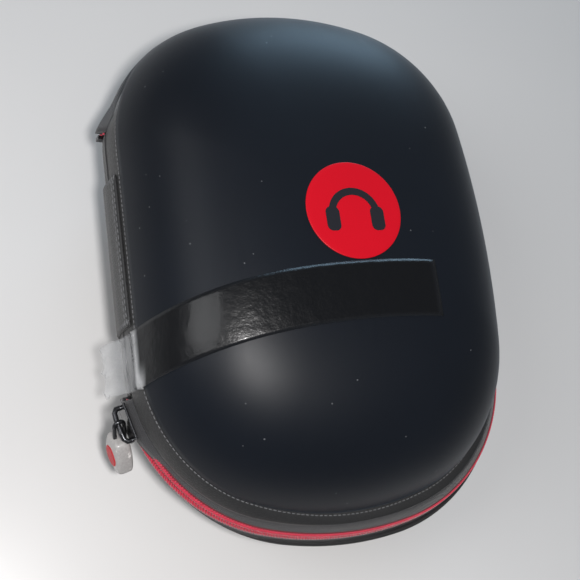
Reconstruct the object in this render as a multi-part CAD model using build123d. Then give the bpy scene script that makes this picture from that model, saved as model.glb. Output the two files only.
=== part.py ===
from build123d import *
import os
from math import atan2, cos, degrees, hypot, radians, sin, sqrt

# Hard carrying case for folded headphones: two moulded domes joined by a zip
# that runs from one end of a leather hinge, round the front, to the other end.
# X runs across the case with the hinge on the -X side, Y along it, Z up.
# The origin is the middle of the zip line's outline, on the flat under the base.
# All sizes are millimetres and degrees.

# ---- overall sizes ----
seam_height = 42.0          # underside of the base to the centre line of the zip
lid_rise = 50.0             # centre line of the zip to the crown of the lid
base_curve_depth = 45.0     # depth the base's curve would have without its flat
zip_half_length = 102.7
zip_half_width = 74.6
end_radius = 115.0          # plan radius of the two long ends
corner_radius = 60.0        # plan radius of the four corners
side_radius = 395.0         # plan radius of the opening side

# ---- shells ----
shell_wall = 2.0
shell_inset_end = 6.2       # zip line to shell, at the two ends
shell_inset_side = 5.95     # the same on the opening side
lid_inset_hinge = -0.7      # the same on the lid's hinge side, where it bulges out
base_inset_hinge = 6.0      # the same on the base's hinge side, where it leans in
dome_rise_power = 1.96      # how square the dome is from side to crown
dome_spread_power = 3.67    # how full the dome's plan stays as it rises
dome_levels = [0.0, 0.15, 0.32, 0.50, 0.66, 0.80, 0.90, 0.965, 0.99, 0.997]
lid_edge_low = 5.4          # lid edge above the seam, on the opening side
lid_edge_high = 16.0        # the same at the hinge
base_edge_low = 8.6
base_edge_high = 16.6
edge_power = 3              # the edge climbs slowly, then fast near the hinge

# ---- seam: gap, chain, tapes, gussets ----
seam_gap = 0.3              # between the lid's pieces and the base's
chain_slot = 1.5            # gap between the chain's halves, for the slider's web
chain_height = 5.5          # over both halves
chain_thickness = 1.0
tape_thickness = 0.6
chain_lean = 0.21           # how far the chain's face leans in per millimetre up
lid_foot = 5.2              # foot of the lid's gusset above the seam
base_foot = 7.9             # foot of the base's gusset below the seam
lid_foot_inset = shell_wall + 1.0    # zip line to the gusset's foot
base_foot_inset = 0.4
foot_inset_hinge = 0.4
base_foot_inset_hinge = 4.2
piping_radius = 1.15
piping_inset_hinge = 4.0    # the piping leans in with the base on the hinge side
gusset_top = 17.0           # level that the gussets are drawn up or down to
binding_near = 4.6          # seam bindings, inward of the zip line
binding_far = 7.6
binding_gap = 1.2           # seam to the bindings
hinge_wall_depth = 3.2
hinge_wall_lean = 2.8       # how far the base's wall leans in at its foot

# ---- lining, pocket and cradle ----
lining_gap = 0.15
lining_thickness = 1.5
pocket_level = 24.0         # mesh pocket above the seam
pocket_thickness = 0.8
pocket_edge_y = 8.0
elastic_width = 4.0
elastic_thickness = 2.5
cradle_drop = 20.0          # seam to the top of the cradle
cradle_gap = 0.1
cradle_floor = 5.0          # cradle left under its wells, above the lining
well_radius = 30.0
well_offset = 36.0

# ---- hinge patch ----
patch_thickness = 1.0
patch_height = 13.5
patch_front = 26.8
patch_back = 28.2

# ---- emblem ----
emblem_x = -2.35
emblem_radius = 17.4
emblem_thickness = 0.7
mark_thickness = 0.25
mark_band_radius = 8.2
mark_band_width = 2.6
mark_pad_width = 5.0
mark_pad_height = 8.6
mark_drop = 1.6

# ---- sealing tape ----
film_gap = 0.05
film_thickness = 0.15
film_width = 19.8
film_emblem_gap = 0.6       # its upper edge passes just under the emblem
film_end_x = 25.4
film_middle_x = -26.9
film_middle_drop = 2.0      # how far the upper edge has fallen by there
film_hinge_x = -68.5
film_hinge_drop = 10.8
tail_front = 47.0
tail_back = 28.6
tail_thickness = 0.25

# ---- slider and pull ----
slider_angle = 195.5        # where it parks, about the corner's centre
park_gap = 8.8              # degrees from the straight hinge side to the chain
stop_span = 1.4             # degrees taken by an end stop
stop_gap = 0.2
plate_half_length = 6.6
plate_half_height = 4.4
plate_thickness = 0.9
plate_inner_face = 1.9
loop_to_plate = 0.4
back_plate_face = 2.0
back_plate_thickness = 1.2
back_plate_half_length = 5.0
back_plate_half_height = 2.6
web_thickness = 0.9
web_length = 4.0
bar_radius = 0.8
wire_radius = 0.6
loop_clearance = 0.3
bridge_half_length = 5.8
loop_length = 8.0
loop_rise = 0.4
pull_tilt = 35.0            # the pull lies askew, towards the front
tab_start = 7.0
tab_length = 19.0
tab_width = 10.5
tab_thickness = 5.0
tab_round = 1.6
badge_radius = 3.9
badge_thickness = 0.5
badge_place = 11.8          # from the tab's top end


class Outline:
    """Plan outline of tangent arcs, with one straight side at the hinge."""

    def __init__(self, half_length, half_width, middle_x, inset):
        self.middle_x = middle_x
        self.end_r = end_radius - inset
        self.side_r = side_radius - inset
        self.corner_r = min(corner_radius - inset, half_width - 8)
        self.left = middle_x - half_width
        end_y = self.end_r - half_length
        across = half_width - self.corner_r
        reach = self.end_r - self.corner_r
        self.flat = sqrt(reach**2 - across**2) - end_y
        self.hinge_corner = (self.left + self.corner_r, -self.flat)
        self.end = (middle_x, end_y)
        self.side = (middle_x + half_width - self.side_r, 0.0)
        self.front_corner = self.meet(self.side_r - self.corner_r, reach)
        self.turns = self.find_turns()

    def meet(self, from_side, from_end):
        """Centre of the corner that is tangent to the side and the end."""
        dx = self.end[0] - self.side[0]
        dy = self.end[1] - self.side[1]
        gap = hypot(dx, dy)
        along = (gap**2 + from_side**2 - from_end**2) / (2 * gap)
        off = sqrt(from_side**2 - along**2)
        x = self.side[0] + (along * dx + off * dy) / gap
        y = self.side[1] + (along * dy - off * dx) / gap
        return (x, y)

    def find_turns(self):
        """Directions at which one arc hands over to the next, from the hinge."""
        def heading(start, finish):
            angle = degrees(atan2(finish[1] - start[1], finish[0] - start[0]))
            return angle % 360

        first = heading(self.end, self.hinge_corner)
        second = heading(self.end, self.front_corner)
        third = heading(self.side, self.front_corner)
        return first, second, third

    def arcs(self, start=180.0):
        """Centre, radius and directions of each arc, anticlockwise from the hinge."""
        first, second, third = self.turns
        lower = [
            (self.hinge_corner, self.corner_r, start, first),
            (self.end, self.end_r, first, second),
            (self.front_corner, self.corner_r, second, third),
        ]
        side = [(self.side, self.side_r, third - 360, 360 - third)]
        upper = [
            ((c[0], -c[1]), r, 360 - finish, 360 - begin)
            for c, r, begin, finish in reversed(lower)
        ]
        return lower + side + upper

    def face(self, offset, level, scale=1.0):
        """Face of the outline, moved out by offset and then scaled."""
        def point(x, y):
            return (self.middle_x + (x - self.middle_x) * scale, y * scale, level)

        edges = []
        for centre, radius, begin, finish in self.arcs():
            middle = point(*centre)
            size = (radius + offset) * scale
            edges.append(CenterArc(middle, size, begin, finish - begin))
        hinge_x = self.left - offset
        edges.append(Line(point(hinge_x, self.flat), point(hinge_x, -self.flat)))
        return make_face(edges)


def inset_outline(end_inset, side_inset, hinge_inset):
    """Outline set in from the zip line by its own amount on each side."""
    half_width = zip_half_width - (side_inset + hinge_inset) / 2
    middle_x = (hinge_inset - side_inset) / 2
    return Outline(zip_half_length - end_inset, half_width, middle_x, end_inset)


def profile_face(points, centre, direction):
    """Section given as (distance from centre, level), stood up in one direction."""
    out = (cos(radians(direction)), sin(radians(direction)), 0)
    side = (out[1], -out[0], 0)
    plane = Plane(origin=(*centre, seam_height), x_dir=out, z_dir=side)
    return plane * make_face(Polyline(*points, close=True))


def turn_profile(points, arc):
    """Section carried round one arc. Points are (offset from the arc, level)."""
    centre, radius, begin, finish = arc
    moved = [(radius + offset, level) for offset, level in points]
    face = profile_face(moved, centre, begin)
    axis = Axis((*centre, 0), (0, 0, 1))
    return revolve(face, axis, finish - begin)


def join(pieces):
    """One solid from pieces that meet face to face."""
    whole = pieces[0]
    for piece in pieces[1:]:
        whole = whole + piece
    return whole


def round_front(points, outline, gap=None):
    """Section carried from one end of the hinge, round the front, to the other."""
    start = 180 + (park_gap if gap is None else gap)
    arcs = outline.arcs()
    first, last = arcs[0], arcs[-1]
    arcs[0] = (first[0], first[1], start, first[3])
    arcs[-1] = (last[0], last[1], last[2], 360 - start)
    return join([turn_profile(points, arc) for arc in arcs])


def along_hinge(points, outline, gap):
    """Section carried along the straight hinge side and a little round its ends."""
    first, last = outline.arcs()[0], outline.arcs()[-1]
    lower = turn_profile(points, (first[0], first[1], 180, 180 + gap))
    upper = turn_profile(points, (last[0], last[1], 180 - gap, 180))
    moved = [(outline.corner_r + offset, level) for offset, level in points]
    centre = (first[0][0], outline.flat)
    face = profile_face(moved, centre, 180)
    straight = extrude(face, amount=2 * outline.flat, dir=(0, -1, 0))
    return join([upper, straight, lower])


def full_ring(points, outline):
    """Section carried all the way round."""
    return join([along_hinge(points, outline, 5), round_front(points, outline, 5)])


def dome_scale(share):
    """Size of the dome's plan at a share of its rise."""
    return (1 - share**dome_rise_power) ** (1 / dome_spread_power)


def dome(outline, inset, rise):
    """Solid dome that stands on the seam plane and ends in a small flat crown."""
    sections = []
    for share in dome_levels:
        level = seam_height + (rise - inset) * share
        sections.append(outline.face(-inset, level, dome_scale(share)))
    return loft(sections)


def below_seam(shape):
    """The same shape turned over to hang from the seam."""
    return mirror(shape, about=Plane.XY.offset(seam_height))


def slab(low, high, x_range=(-200, 200), y_range=(-200, 200)):
    """Block between two levels."""
    size = (x_range[1] - x_range[0], y_range[1] - y_range[0], high - low)
    middle = (sum(x_range) / 2, sum(y_range) / 2, (low + high) / 2)
    return Pos(*middle) * Box(*size)


def edge_block(low, high):
    """Everything from the seam up to the shell's curved lower edge."""
    reach = zip_half_width + 8
    steps = 8

    def level(x):
        share = (zip_half_width - min(x, zip_half_width)) / (2 * zip_half_width)
        return seam_height + low + (high - low) * min(share, 1.06) ** edge_power

    xs = [-reach + 2 * reach * i / steps for i in range(steps + 1)]
    curve = Spline(*[(x, level(x)) for x in xs])
    floor = seam_height - 3
    sides = Polyline(
        (reach, level(reach)), (reach, floor), (-reach, floor), (-reach, level(-reach))
    )
    face = Plane.XZ * make_face([curve, sides])
    return extrude(face, amount=zip_half_length + 20, both=True)


def gusset(foot_outline, shell_outline, foot, rise, hollow, block):
    """Leather band between the zip tape and the shell's edge."""
    lower = foot_outline.face(0, seam_height + foot)
    scale = dome_scale(gusset_top / rise)
    upper = shell_outline.face(0, seam_height + gusset_top, scale)
    body = loft([lower, upper], ruled=True)
    return (body - hollow) & block


def rounded_box(size, radius):
    """Box with every edge rounded, by less than half its thinnest side."""
    body = Box(*size)
    return fillet(body.edges(), min(radius, 0.4 * min(size)))


zip_outline = Outline(zip_half_length, zip_half_width, 0.0, 0.0)
lid_outline = inset_outline(shell_inset_end, shell_inset_side, lid_inset_hinge)
base_outline = inset_outline(shell_inset_end, shell_inset_side, base_inset_hinge)
piping_outline = inset_outline(0.0, 0.0, piping_inset_hinge)
lid_foot_outline = inset_outline(lid_foot_inset, lid_foot_inset, foot_inset_hinge)
base_foot_outline = inset_outline(
    base_foot_inset, base_foot_inset, base_foot_inset_hinge
)
half_slot = chain_slot / 2
half_chain = chain_height / 2
half_gap = seam_gap / 2
lid_block = edge_block(lid_edge_low, lid_edge_high)
base_block = edge_block(base_edge_low, base_edge_high)
lining_outset = shell_wall + lining_gap
lining_inset = lining_outset + lining_thickness
parts = {}

# ---- shells: a dome less the dome inside it, trimmed to the curved edge ----
crown = seam_height + lid_rise * dome_levels[-1]
lid_hollow = dome(lid_outline, shell_wall, lid_rise)
parts["lid_shell"] = dome(lid_outline, 0, lid_rise) - lid_hollow - lid_block

base_depth = base_curve_depth
base_dome = dome(base_outline, 0, base_depth)
base_hollow = dome(base_outline, shell_wall, base_depth)
floor_level = 2 * seam_height                  # the underside, before turning over
base_dome = base_dome & slab(0, floor_level)
base_hollow = base_hollow & slab(0, floor_level - shell_wall)
parts["base_shell"] = below_seam(base_dome - base_hollow - base_block)

# ---- gussets ----
parts["lid_gusset"] = gusset(
    lid_foot_outline, lid_outline, lid_foot, lid_rise, lid_hollow, lid_block
)
base_band = gusset(
    base_foot_outline, base_outline, base_foot, base_depth, base_hollow, base_block
)
parts["base_gusset"] = below_seam(base_band)


# ---- zip chain and tapes: sections as (offset from the zip line, level) ----
def tape_face(level):
    return -0.1 - chain_lean * level


def chain_section(near, far):
    return [
        (tape_face(near) + chain_thickness, near),
        (tape_face(far) + chain_thickness, far),
        (tape_face(far), far),
        (tape_face(near), near),
    ]


lid_tape_section = [
    (tape_face(half_slot), half_slot),
    (tape_face(half_chain), half_chain),
    (-lid_foot_inset, lid_foot),
    (-lid_foot_inset - 1.5 * tape_thickness, lid_foot),
    (tape_face(half_chain) - tape_thickness, half_chain - 0.15),
    (tape_face(half_slot) - tape_thickness, half_slot),
]
piping_level = -base_foot + piping_radius
tape_end = piping_level + piping_radius
base_tape_section = [
    (tape_face(-half_slot), -half_slot),
    (tape_face(tape_end), tape_end),
    (tape_face(tape_end) - tape_thickness, tape_end),
    (tape_face(-half_slot) - tape_thickness, -half_slot),
]
parts["lid_zip_tape"] = round_front(lid_tape_section, zip_outline)
parts["base_zip_tape"] = round_front(base_tape_section, zip_outline)
lid_chain_section = chain_section(half_slot, half_chain)
base_chain_section = chain_section(-half_slot, -half_chain)
parts["lid_zip_chain"] = round_front(lid_chain_section, zip_outline)
parts["base_zip_chain"] = round_front(base_chain_section, zip_outline)

# Piping that closes the base's edge under the tape, all the way round.
sides = 16
piping_middle = tape_face(tape_end) - tape_thickness / 2
piping_section = [
    (
        piping_middle + piping_radius * cos(radians(360 * i / sides)),
        piping_level + piping_radius * sin(radians(360 * i / sides)),
    )
    for i in range(sides)
]
parts["base_edge_piping"] = full_ring(piping_section, piping_outline)

# ---- hinge: a wall in each half, and a stitched patch over both ----
wall_gap = park_gap - stop_span - 2 * stop_gap
lid_wall_section = [
    (0, half_gap),
    (0, lid_foot),
    (-hinge_wall_depth, lid_foot),
    (-hinge_wall_depth, half_gap),
]
base_wall_section = [
    (0, -half_gap),
    (-hinge_wall_lean, tape_end),
    (-hinge_wall_lean - 1.4, tape_end),
    (-hinge_wall_depth, -half_gap),
]
parts["hinge_wall_lid"] = along_hinge(lid_wall_section, zip_outline, wall_gap)
parts["hinge_wall_base"] = along_hinge(base_wall_section, zip_outline, wall_gap)


def hinge_patch(inner):
    """Patch that follows the inner line, given as (x, level above the seam)."""
    outer = [(x - patch_thickness, level) for x, level in reversed(inner)]
    points = [(x, seam_height + level) for x, level in inner + outer]
    face = Plane.XZ * make_face(Polyline(*points, close=True))
    body = extrude(face, amount=patch_front)
    return body + extrude(face, amount=-patch_back)


hinge_x = zip_outline.left
clear = 0.05


def gusset_x(foot_outline, shell_outline, foot, rise, height):
    """Where the gusset's straight hinge side stands at a height from the seam."""
    scale = dome_scale(gusset_top / rise)
    middle = shell_outline.middle_x
    top_x = middle + (shell_outline.left - middle) * scale
    foot_x = foot_outline.left
    return foot_x + (top_x - foot_x) * (height - foot) / (gusset_top - foot)


def lid_side(height):
    return gusset_x(lid_foot_outline, lid_outline, lid_foot, lid_rise, height)


def base_side(height):
    return gusset_x(base_foot_outline, base_outline, base_foot, base_depth, height)


lid_patch_line = [
    (hinge_x - clear, half_gap),
    (hinge_x - clear, lid_foot),
    (lid_side(patch_height) - clear, patch_height),
]
piping_out = piping_outline.left - piping_middle - piping_radius - clear
base_patch_line = [
    (hinge_x - clear, -half_gap),
    (piping_out, piping_level + 0.9),
    (piping_out, piping_level - 1.0),
    (base_side(patch_height) - clear, -patch_height),
]
parts["hinge_patch_lid"] = hinge_patch(lid_patch_line)
parts["hinge_patch_base"] = hinge_patch(base_patch_line)

# ---- bindings over the inner edges of the seam ----
lid_binding_section = [
    (-binding_near, binding_gap),
    (-binding_near, lid_foot),
    (-binding_far, lid_foot),
    (-binding_far, binding_gap),
]
base_binding_section = [(d, -level) for d, level in lid_binding_section]
base_binding_section = [
    (d, -base_foot if level == -lid_foot else level) for d, level in base_binding_section
]
parts["lid_seam_binding"] = full_ring(lid_binding_section, zip_outline)
parts["base_seam_binding"] = full_ring(base_binding_section, zip_outline)

# ---- linings ----
lining_skin = dome(lid_outline, lining_outset, lid_rise)
lining_void = dome(lid_outline, lining_inset, lid_rise)
lid_room = slab(seam_height + lid_foot, 200)
parts["lid_lining"] = (lining_skin - lining_void) & lid_room

base_skin = dome(base_outline, lining_outset, base_depth)
base_void = dome(base_outline, lining_inset, base_depth)
base_skin = base_skin & slab(0, floor_level - lining_outset)
base_void = base_void & slab(0, floor_level - lining_inset)
base_room = slab(seam_height + base_foot, 200)
parts["base_lining"] = below_seam((base_skin - base_void) & base_room)

# ---- mesh pocket in the lid, with its elastic edge ----
pocket_room = dome(lid_outline, lining_inset + cradle_gap, lid_rise)
net_low = seam_height + pocket_level
net_high = net_low + pocket_thickness
net = slab(net_low, net_high, y_range=(-200, pocket_edge_y))
parts["mesh_pocket"] = pocket_room & net
band_low = net_low + pocket_thickness / 2 - elastic_thickness / 2
band_y = (pocket_edge_y, pocket_edge_y + elastic_width)
band = slab(band_low, band_low + elastic_thickness, y_range=band_y)
parts["pocket_elastic"] = pocket_room & band

# ---- moulded cradle in the base, with a well for each ear cup ----
cradle_room = dome(base_outline, lining_inset + cradle_gap, base_depth)
cradle_low = seam_height + cradle_drop
cradle_high = floor_level - lining_inset - cradle_gap
cradle = cradle_room & slab(cradle_low, cradle_high)
well_depth = cradle_high - cradle_floor - cradle_low
for side in (-1, 1):
    spot = (base_outline.middle_x, side * well_offset, cradle_low + well_depth / 2)
    cradle = cradle - Pos(*spot) * Cylinder(well_radius, well_depth)
parts["headphone_cradle"] = below_seam(cradle)

# ---- emblem on the crown ----
emblem_spot = Pos(emblem_x, 0, crown)
disc = extrude(Circle(emblem_radius), amount=emblem_thickness)
parts["lid_emblem"] = emblem_spot * disc
outer_band = Circle(mark_band_radius + mark_band_width / 2)
inner_band = Circle(mark_band_radius - mark_band_width / 2)
lower_half = Pos(0, -mark_band_radius) * Rectangle(60, 2 * mark_band_radius)
mark = outer_band - inner_band - lower_half
for side in (-1, 1):
    pad = RectangleRounded(mark_pad_width, mark_pad_height, mark_pad_width * 0.4)
    mark = mark + Pos(side * mark_band_radius, -mark_drop) * pad
mark_spot = Pos(emblem_x, -mark_drop, crown + emblem_thickness)
parts["emblem_mark"] = mark_spot * extrude(mark, amount=mark_thickness)

# ---- clear sealing film: over the lid, then a loose tail past the hinge side ----
film_outer = dome(lid_outline, -film_gap - film_thickness, lid_rise)
film_inner = dome(lid_outline, -film_gap, lid_rise)
film_end_y = -emblem_radius - film_emblem_gap
film_middle = (film_middle_x, film_end_y - film_middle_drop)
far_x = lid_outline.left - 4
fall = (film_hinge_drop - film_middle_drop) / (film_middle_x - film_hinge_x)
far_y = film_end_y - film_hinge_drop - fall * (film_hinge_x - far_x)
upper_edge = ThreePointArc((film_end_x, film_end_y), film_middle, (far_x, far_y))
lower_edge = Pos(0, -film_width) * upper_edge
ends = [
    Line((film_end_x, film_end_y), (film_end_x, film_end_y - film_width)),
    Line((far_x, far_y), (far_x, far_y - film_width)),
]
strip = extrude(make_face([upper_edge, lower_edge, *ends]), amount=200)
parts["seal_film"] = ((film_outer - film_inner) & strip) - lid_block

tail_top = lid_edge_high - 1.2
tail_line = [
    (lid_side(tail_top) - 0.15, tail_top),
    (hinge_x - 0.10, lid_foot),
    (hinge_x - 1.40, 0.4),
    (hinge_x - 3.60, -4.5),
    (hinge_x - 4.80, -8.0),
]
tail_back_line = [(x - tail_thickness, level) for x, level in reversed(tail_line)]
tail_points = [(x, seam_height + level) for x, level in tail_line + tail_back_line]
tail_face = Plane.XZ * make_face(Polyline(*tail_points, close=True))
tail = extrude(Pos(0, -tail_back, 0) * tail_face, amount=tail_front - tail_back)
parts["seal_film_tail"] = tail

# ---- zip end stops, at both ends of the chain ----
stop_start = wall_gap + stop_gap
stop_section = [
    (tape_face(-half_slot) + chain_thickness + 0.3, -half_gap),
    (tape_face(-half_chain) + chain_thickness + 0.3, -half_chain),
    (-hinge_wall_depth / 2, -half_chain),
    (-hinge_wall_depth / 2, -half_gap),
]
first_arc = zip_outline.arcs()[0]
begin = 180 + stop_start
front_arc = (first_arc[0], first_arc[1], begin, begin + stop_span)
front_stop = turn_profile(stop_section, front_arc)
parts["zip_end_stops"] = front_stop + mirror(front_stop, about=Plane.XZ)

# ---- slider, bridge and pull, drawn at the corner's radius and turned to place ----
corner = zip_outline.hinge_corner
ride = zip_outline.corner_r
plate_outer = plate_inner_face + plate_thickness
bar_out = plate_outer + loop_to_plate + 2 * wire_radius + loop_clearance + bar_radius
place = Pos(*corner, seam_height) * Rot(0, 0, slider_angle)

front_plate = rounded_box(
    (plate_thickness, 2 * plate_half_length, 2 * plate_half_height), 0.45
)
front_plate = Pos(ride + plate_inner_face + plate_thickness / 2, 0, 0) * front_plate
back_plate = rounded_box(
    (back_plate_thickness, 2 * back_plate_half_length, 2 * back_plate_half_height), 0.45
)
back_plate = Pos(ride - back_plate_face - back_plate_thickness / 2, 0, 0) * back_plate
web_reach = plate_inner_face + back_plate_face + 1.0
web_middle = (plate_inner_face - back_plate_face) / 2
web = Pos(ride + web_middle, 0, 0) * Box(web_reach, web_length, web_thickness)
parts["slider_body"] = place * (front_plate + back_plate + web)

bridge_path = FilletPolyline(
    (ride + plate_outer, -bridge_half_length, 0),
    (ride + bar_out, -bridge_half_length, 0),
    (ride + bar_out, bridge_half_length, 0),
    (ride + plate_outer, bridge_half_length, 0),
    radius=1.2,
)
bridge_start = Plane(origin=bridge_path @ 0, z_dir=bridge_path % 0)
bridge = sweep(bridge_start * Circle(bar_radius), path=bridge_path)
parts["slider_bridge"] = place * bridge

# The loop hangs round the bar; the tab is moulded over the loop's lower end.
half_width = bar_radius + loop_clearance + wire_radius
hang = place * Pos(ride + bar_out, 0, 0) * Rot(pull_tilt, 0, 0)
loop_path = Wire(
    [
        ThreePointArc((-half_width, 0, loop_rise), (0, 0, loop_rise + half_width),
                      (half_width, 0, loop_rise)),
        Line((half_width, 0, loop_rise), (half_width, 0, -loop_length)),
        ThreePointArc((half_width, 0, -loop_length), (0, 0, -loop_length - half_width),
                      (-half_width, 0, -loop_length)),
        Line((-half_width, 0, -loop_length), (-half_width, 0, loop_rise)),
    ]
)
loop_start = Plane(origin=(half_width, 0, 0), z_dir=(0, 0, 1))
loop = sweep(loop_start * Circle(wire_radius), path=loop_path)
parts["pull_loop"] = hang * loop

tab_middle = -tab_start - tab_length / 2
tab = Pos(0, 0, tab_middle) * rounded_box((tab_thickness, tab_width, tab_length), tab_round)
badge_level = -tab_start - badge_place
badge_plane = Plane(
    origin=(tab_thickness / 2 - badge_thickness / 2, 0, badge_level), z_dir=(1, 0, 0)
)
badge = extrude(badge_plane * Circle(badge_radius), amount=badge_thickness)
parts["pull_tab"] = hang * (tab - loop - badge)
parts["pull_badge"] = hang * badge

os.makedirs("parts", exist_ok=True)
for name, shape in parts.items():
    export_step(shape, f"parts/{name}.step")
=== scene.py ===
from math import atan2, cos, hypot, pi, radians, sin, sqrt

import bmesh
import bpy
import numpy as np
from bpy.props import FloatProperty, FloatVectorProperty, IntProperty, PointerProperty
from mathutils import Matrix, Vector


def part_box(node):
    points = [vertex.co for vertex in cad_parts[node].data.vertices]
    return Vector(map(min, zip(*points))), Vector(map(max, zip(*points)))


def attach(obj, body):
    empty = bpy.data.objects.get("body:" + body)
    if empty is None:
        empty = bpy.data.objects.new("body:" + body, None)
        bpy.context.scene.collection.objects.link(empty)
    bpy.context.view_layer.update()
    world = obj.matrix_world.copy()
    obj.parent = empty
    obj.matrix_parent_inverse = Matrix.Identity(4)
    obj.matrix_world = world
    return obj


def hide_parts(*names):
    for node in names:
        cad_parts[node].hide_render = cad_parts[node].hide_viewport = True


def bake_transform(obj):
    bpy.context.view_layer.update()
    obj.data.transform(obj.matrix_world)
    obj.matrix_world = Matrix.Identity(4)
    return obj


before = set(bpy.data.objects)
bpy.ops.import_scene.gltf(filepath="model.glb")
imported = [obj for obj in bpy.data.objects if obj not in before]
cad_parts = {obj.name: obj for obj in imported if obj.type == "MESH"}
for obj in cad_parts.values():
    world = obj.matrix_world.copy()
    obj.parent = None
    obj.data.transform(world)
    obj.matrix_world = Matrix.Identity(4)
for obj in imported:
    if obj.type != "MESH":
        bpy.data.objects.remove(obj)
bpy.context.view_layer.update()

bl_info = {
    "name": "Headphone Case",
    "version": (1, 0, 0),
    "blender": (4, 5, 0),
    "location": "View3D > Sidebar > Case",
    "description": "Zipped hard case for folded headphones, built piece by piece",
    "category": "Add Mesh",
}

MM = 0.001

# Places taken from the frame.
SEAM = (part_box("lid_zip_chain")[0].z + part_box("base_zip_chain")[1].z) / 2
ZIP_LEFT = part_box("hinge_wall_lid")[0].x
ZIP_HALF_WIDTH = -ZIP_LEFT
CHAIN_STAND_OUT = 0.7425 * MM
ZIP_HALF_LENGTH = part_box("lid_zip_chain")[1].y - CHAIN_STAND_OUT

# Plan radii and insets shared by every outline.
END_RADIUS, CORNER_RADIUS, SIDE_RADIUS = 115 * MM, 60 * MM, 395 * MM
LID_INSET = (6.2 * MM, 5.95 * MM, -0.7 * MM)
BASE_INSET = (6.2 * MM, 5.95 * MM, 6.0 * MM)
LID_RISE, BASE_DEPTH = 50 * MM, 45 * MM
RISE_POWER, SPREAD_POWER = 1.96, 3.67
CHAIN_LEAN = 0.21
PARK_GAP = 8.8                                # degrees of corner left open at each zip end
FAR_CORNER_EASE = (3.4 * MM, -3.0 * MM)       # how far the far hinge corner is drawn in
TAPE_NEAR, TAPE_FAR, TAPE_END = 0.75 * MM, 2.75 * MM, -5.6 * MM
TAPE_THICK, ROD_RADIUS, RING_RADIUS = 0.6 * MM, 0.95 * MM, 0.72 * MM
SLIDER_TURN, PULL_TILT = radians(195.5), radians(35)
FILM_WIDTH, FILM_THICK, FILM_LIFT = 19.8 * MM, 0.1 * MM, 0.12 * MM
TAB_SECTIONS = (                              # level, half width, half thickness in mm
    (-4.8, 2.2, 1.3), (-5.0, 3.3, 2.1), (-5.6, 4.0, 2.7), (-7.2, 4.6, 3.0),
    (-10.0, 5.4, 3.2), (-13.5, 5.9, 3.2), (-16.0, 5.9, 3.1), (-17.6, 5.6, 2.9),
    (-18.5, 4.9, 2.5), (-18.9, 3.4, 1.6))
LIGHTS = (                                    # name, place, size, power, colour, aim
    ("Near key", (-0.125, -0.135, 0.43), 0.040, 1.70, (1.0, 0.98, 0.97), (-0.02, -0.02, 0.07)),
    ("Low window", (0.62, 1.40, 0.30), 0.9, 11.5, (0.50, 0.76, 1.0), (0.0, 0.06, 0.06)),
    ("Left overhead", (-1.15, 0.15, 1.00), 0.9, 8.0, (0.98, 0.99, 1.0), (0, 0, 0.04)))
LID_FOOT, BASE_FOOT = 5.2 * MM, 7.9 * MM


# ---------------------------------------------------------------- settings

class CaseSizes(bpy.types.PropertyGroup):
    """Sizes of the details that the frame leaves open"""

    edge_roll: FloatProperty(
        name="Edge roll", description="Radius of the shells' rolled edge",
        default=0.9 * MM, unit="LENGTH")
    stitch_length: FloatProperty(
        name="Stitch length", description="Length of one stitch",
        default=1.3 * MM, unit="LENGTH")
    stitch_pitch: FloatProperty(
        name="Stitch pitch", description="Distance from one stitch to the next",
        default=1.75 * MM, unit="LENGTH")
    tooth_pitch: FloatProperty(
        name="Tooth pitch", description="Distance between the zip's woven teeth",
        default=1.05 * MM, unit="LENGTH")
    tooth_slant: FloatProperty(
        name="Tooth slant", description="Slant of the teeth in each half of the zip",
        default=radians(32), subtype="ANGLE")
    net_cell: FloatProperty(
        name="Net cell", description="Side of one opening of the pocket's net",
        default=3.2 * MM, unit="LENGTH")
    net_thread: FloatProperty(
        name="Net thread", description="Radius of the net's thread",
        default=0.26 * MM, unit="LENGTH")
    seed: IntProperty(
        name="Seed", description="Seed of the small unevenness in stitches and teeth",
        default=7)


def tint(name, note, colour):
    """A colour setting with its name, note and default."""
    return FloatVectorProperty(
        name=name, description=note, default=colour, subtype="COLOR",
        size=3, min=0, max=1)


class CaseColours(bpy.types.PropertyGroup):
    """Colours of the case's materials"""

    shell: tint("Shell", "Soft-touch skin of both shells", (0.0030, 0.0046, 0.0080))
    leather: tint("Leather", "Gussets, hinge and piping", (0.0095, 0.0098, 0.0106))
    tape: tint("Tape", "Woven zip tape", (0.010, 0.010, 0.012))
    chain: tint("Chain", "Red woven zip teeth", (0.36, 0.012, 0.035))
    thread: tint("Thread", "Stitching thread", (0.075, 0.077, 0.082))
    emblem: tint("Emblem", "Round emblem on the lid", (0.455, 0.0015, 0.010))
    ink: tint("Mark", "Dark mark on the emblem", (0.012, 0.012, 0.016))
    film: tint("Film", "Clear film where it lies on the lid", (0.0016, 0.002, 0.003))
    lining: tint("Lining", "Cloth inside both halves", (0.020, 0.021, 0.024))
    metal: tint("Metal", "Slider, bridge and loop", (0.045, 0.046, 0.050))
    tab: tint("Tab", "Moulded pull tab", (0.30, 0.29, 0.285))
    table: tint("Table", "Pale table under the case", (0.585, 0.580, 0.577))


def sizes():
    return bpy.context.scene.case_sizes


def colours():
    return bpy.context.scene.case_colours


# ---------------------------------------------------------------- outlines

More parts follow.
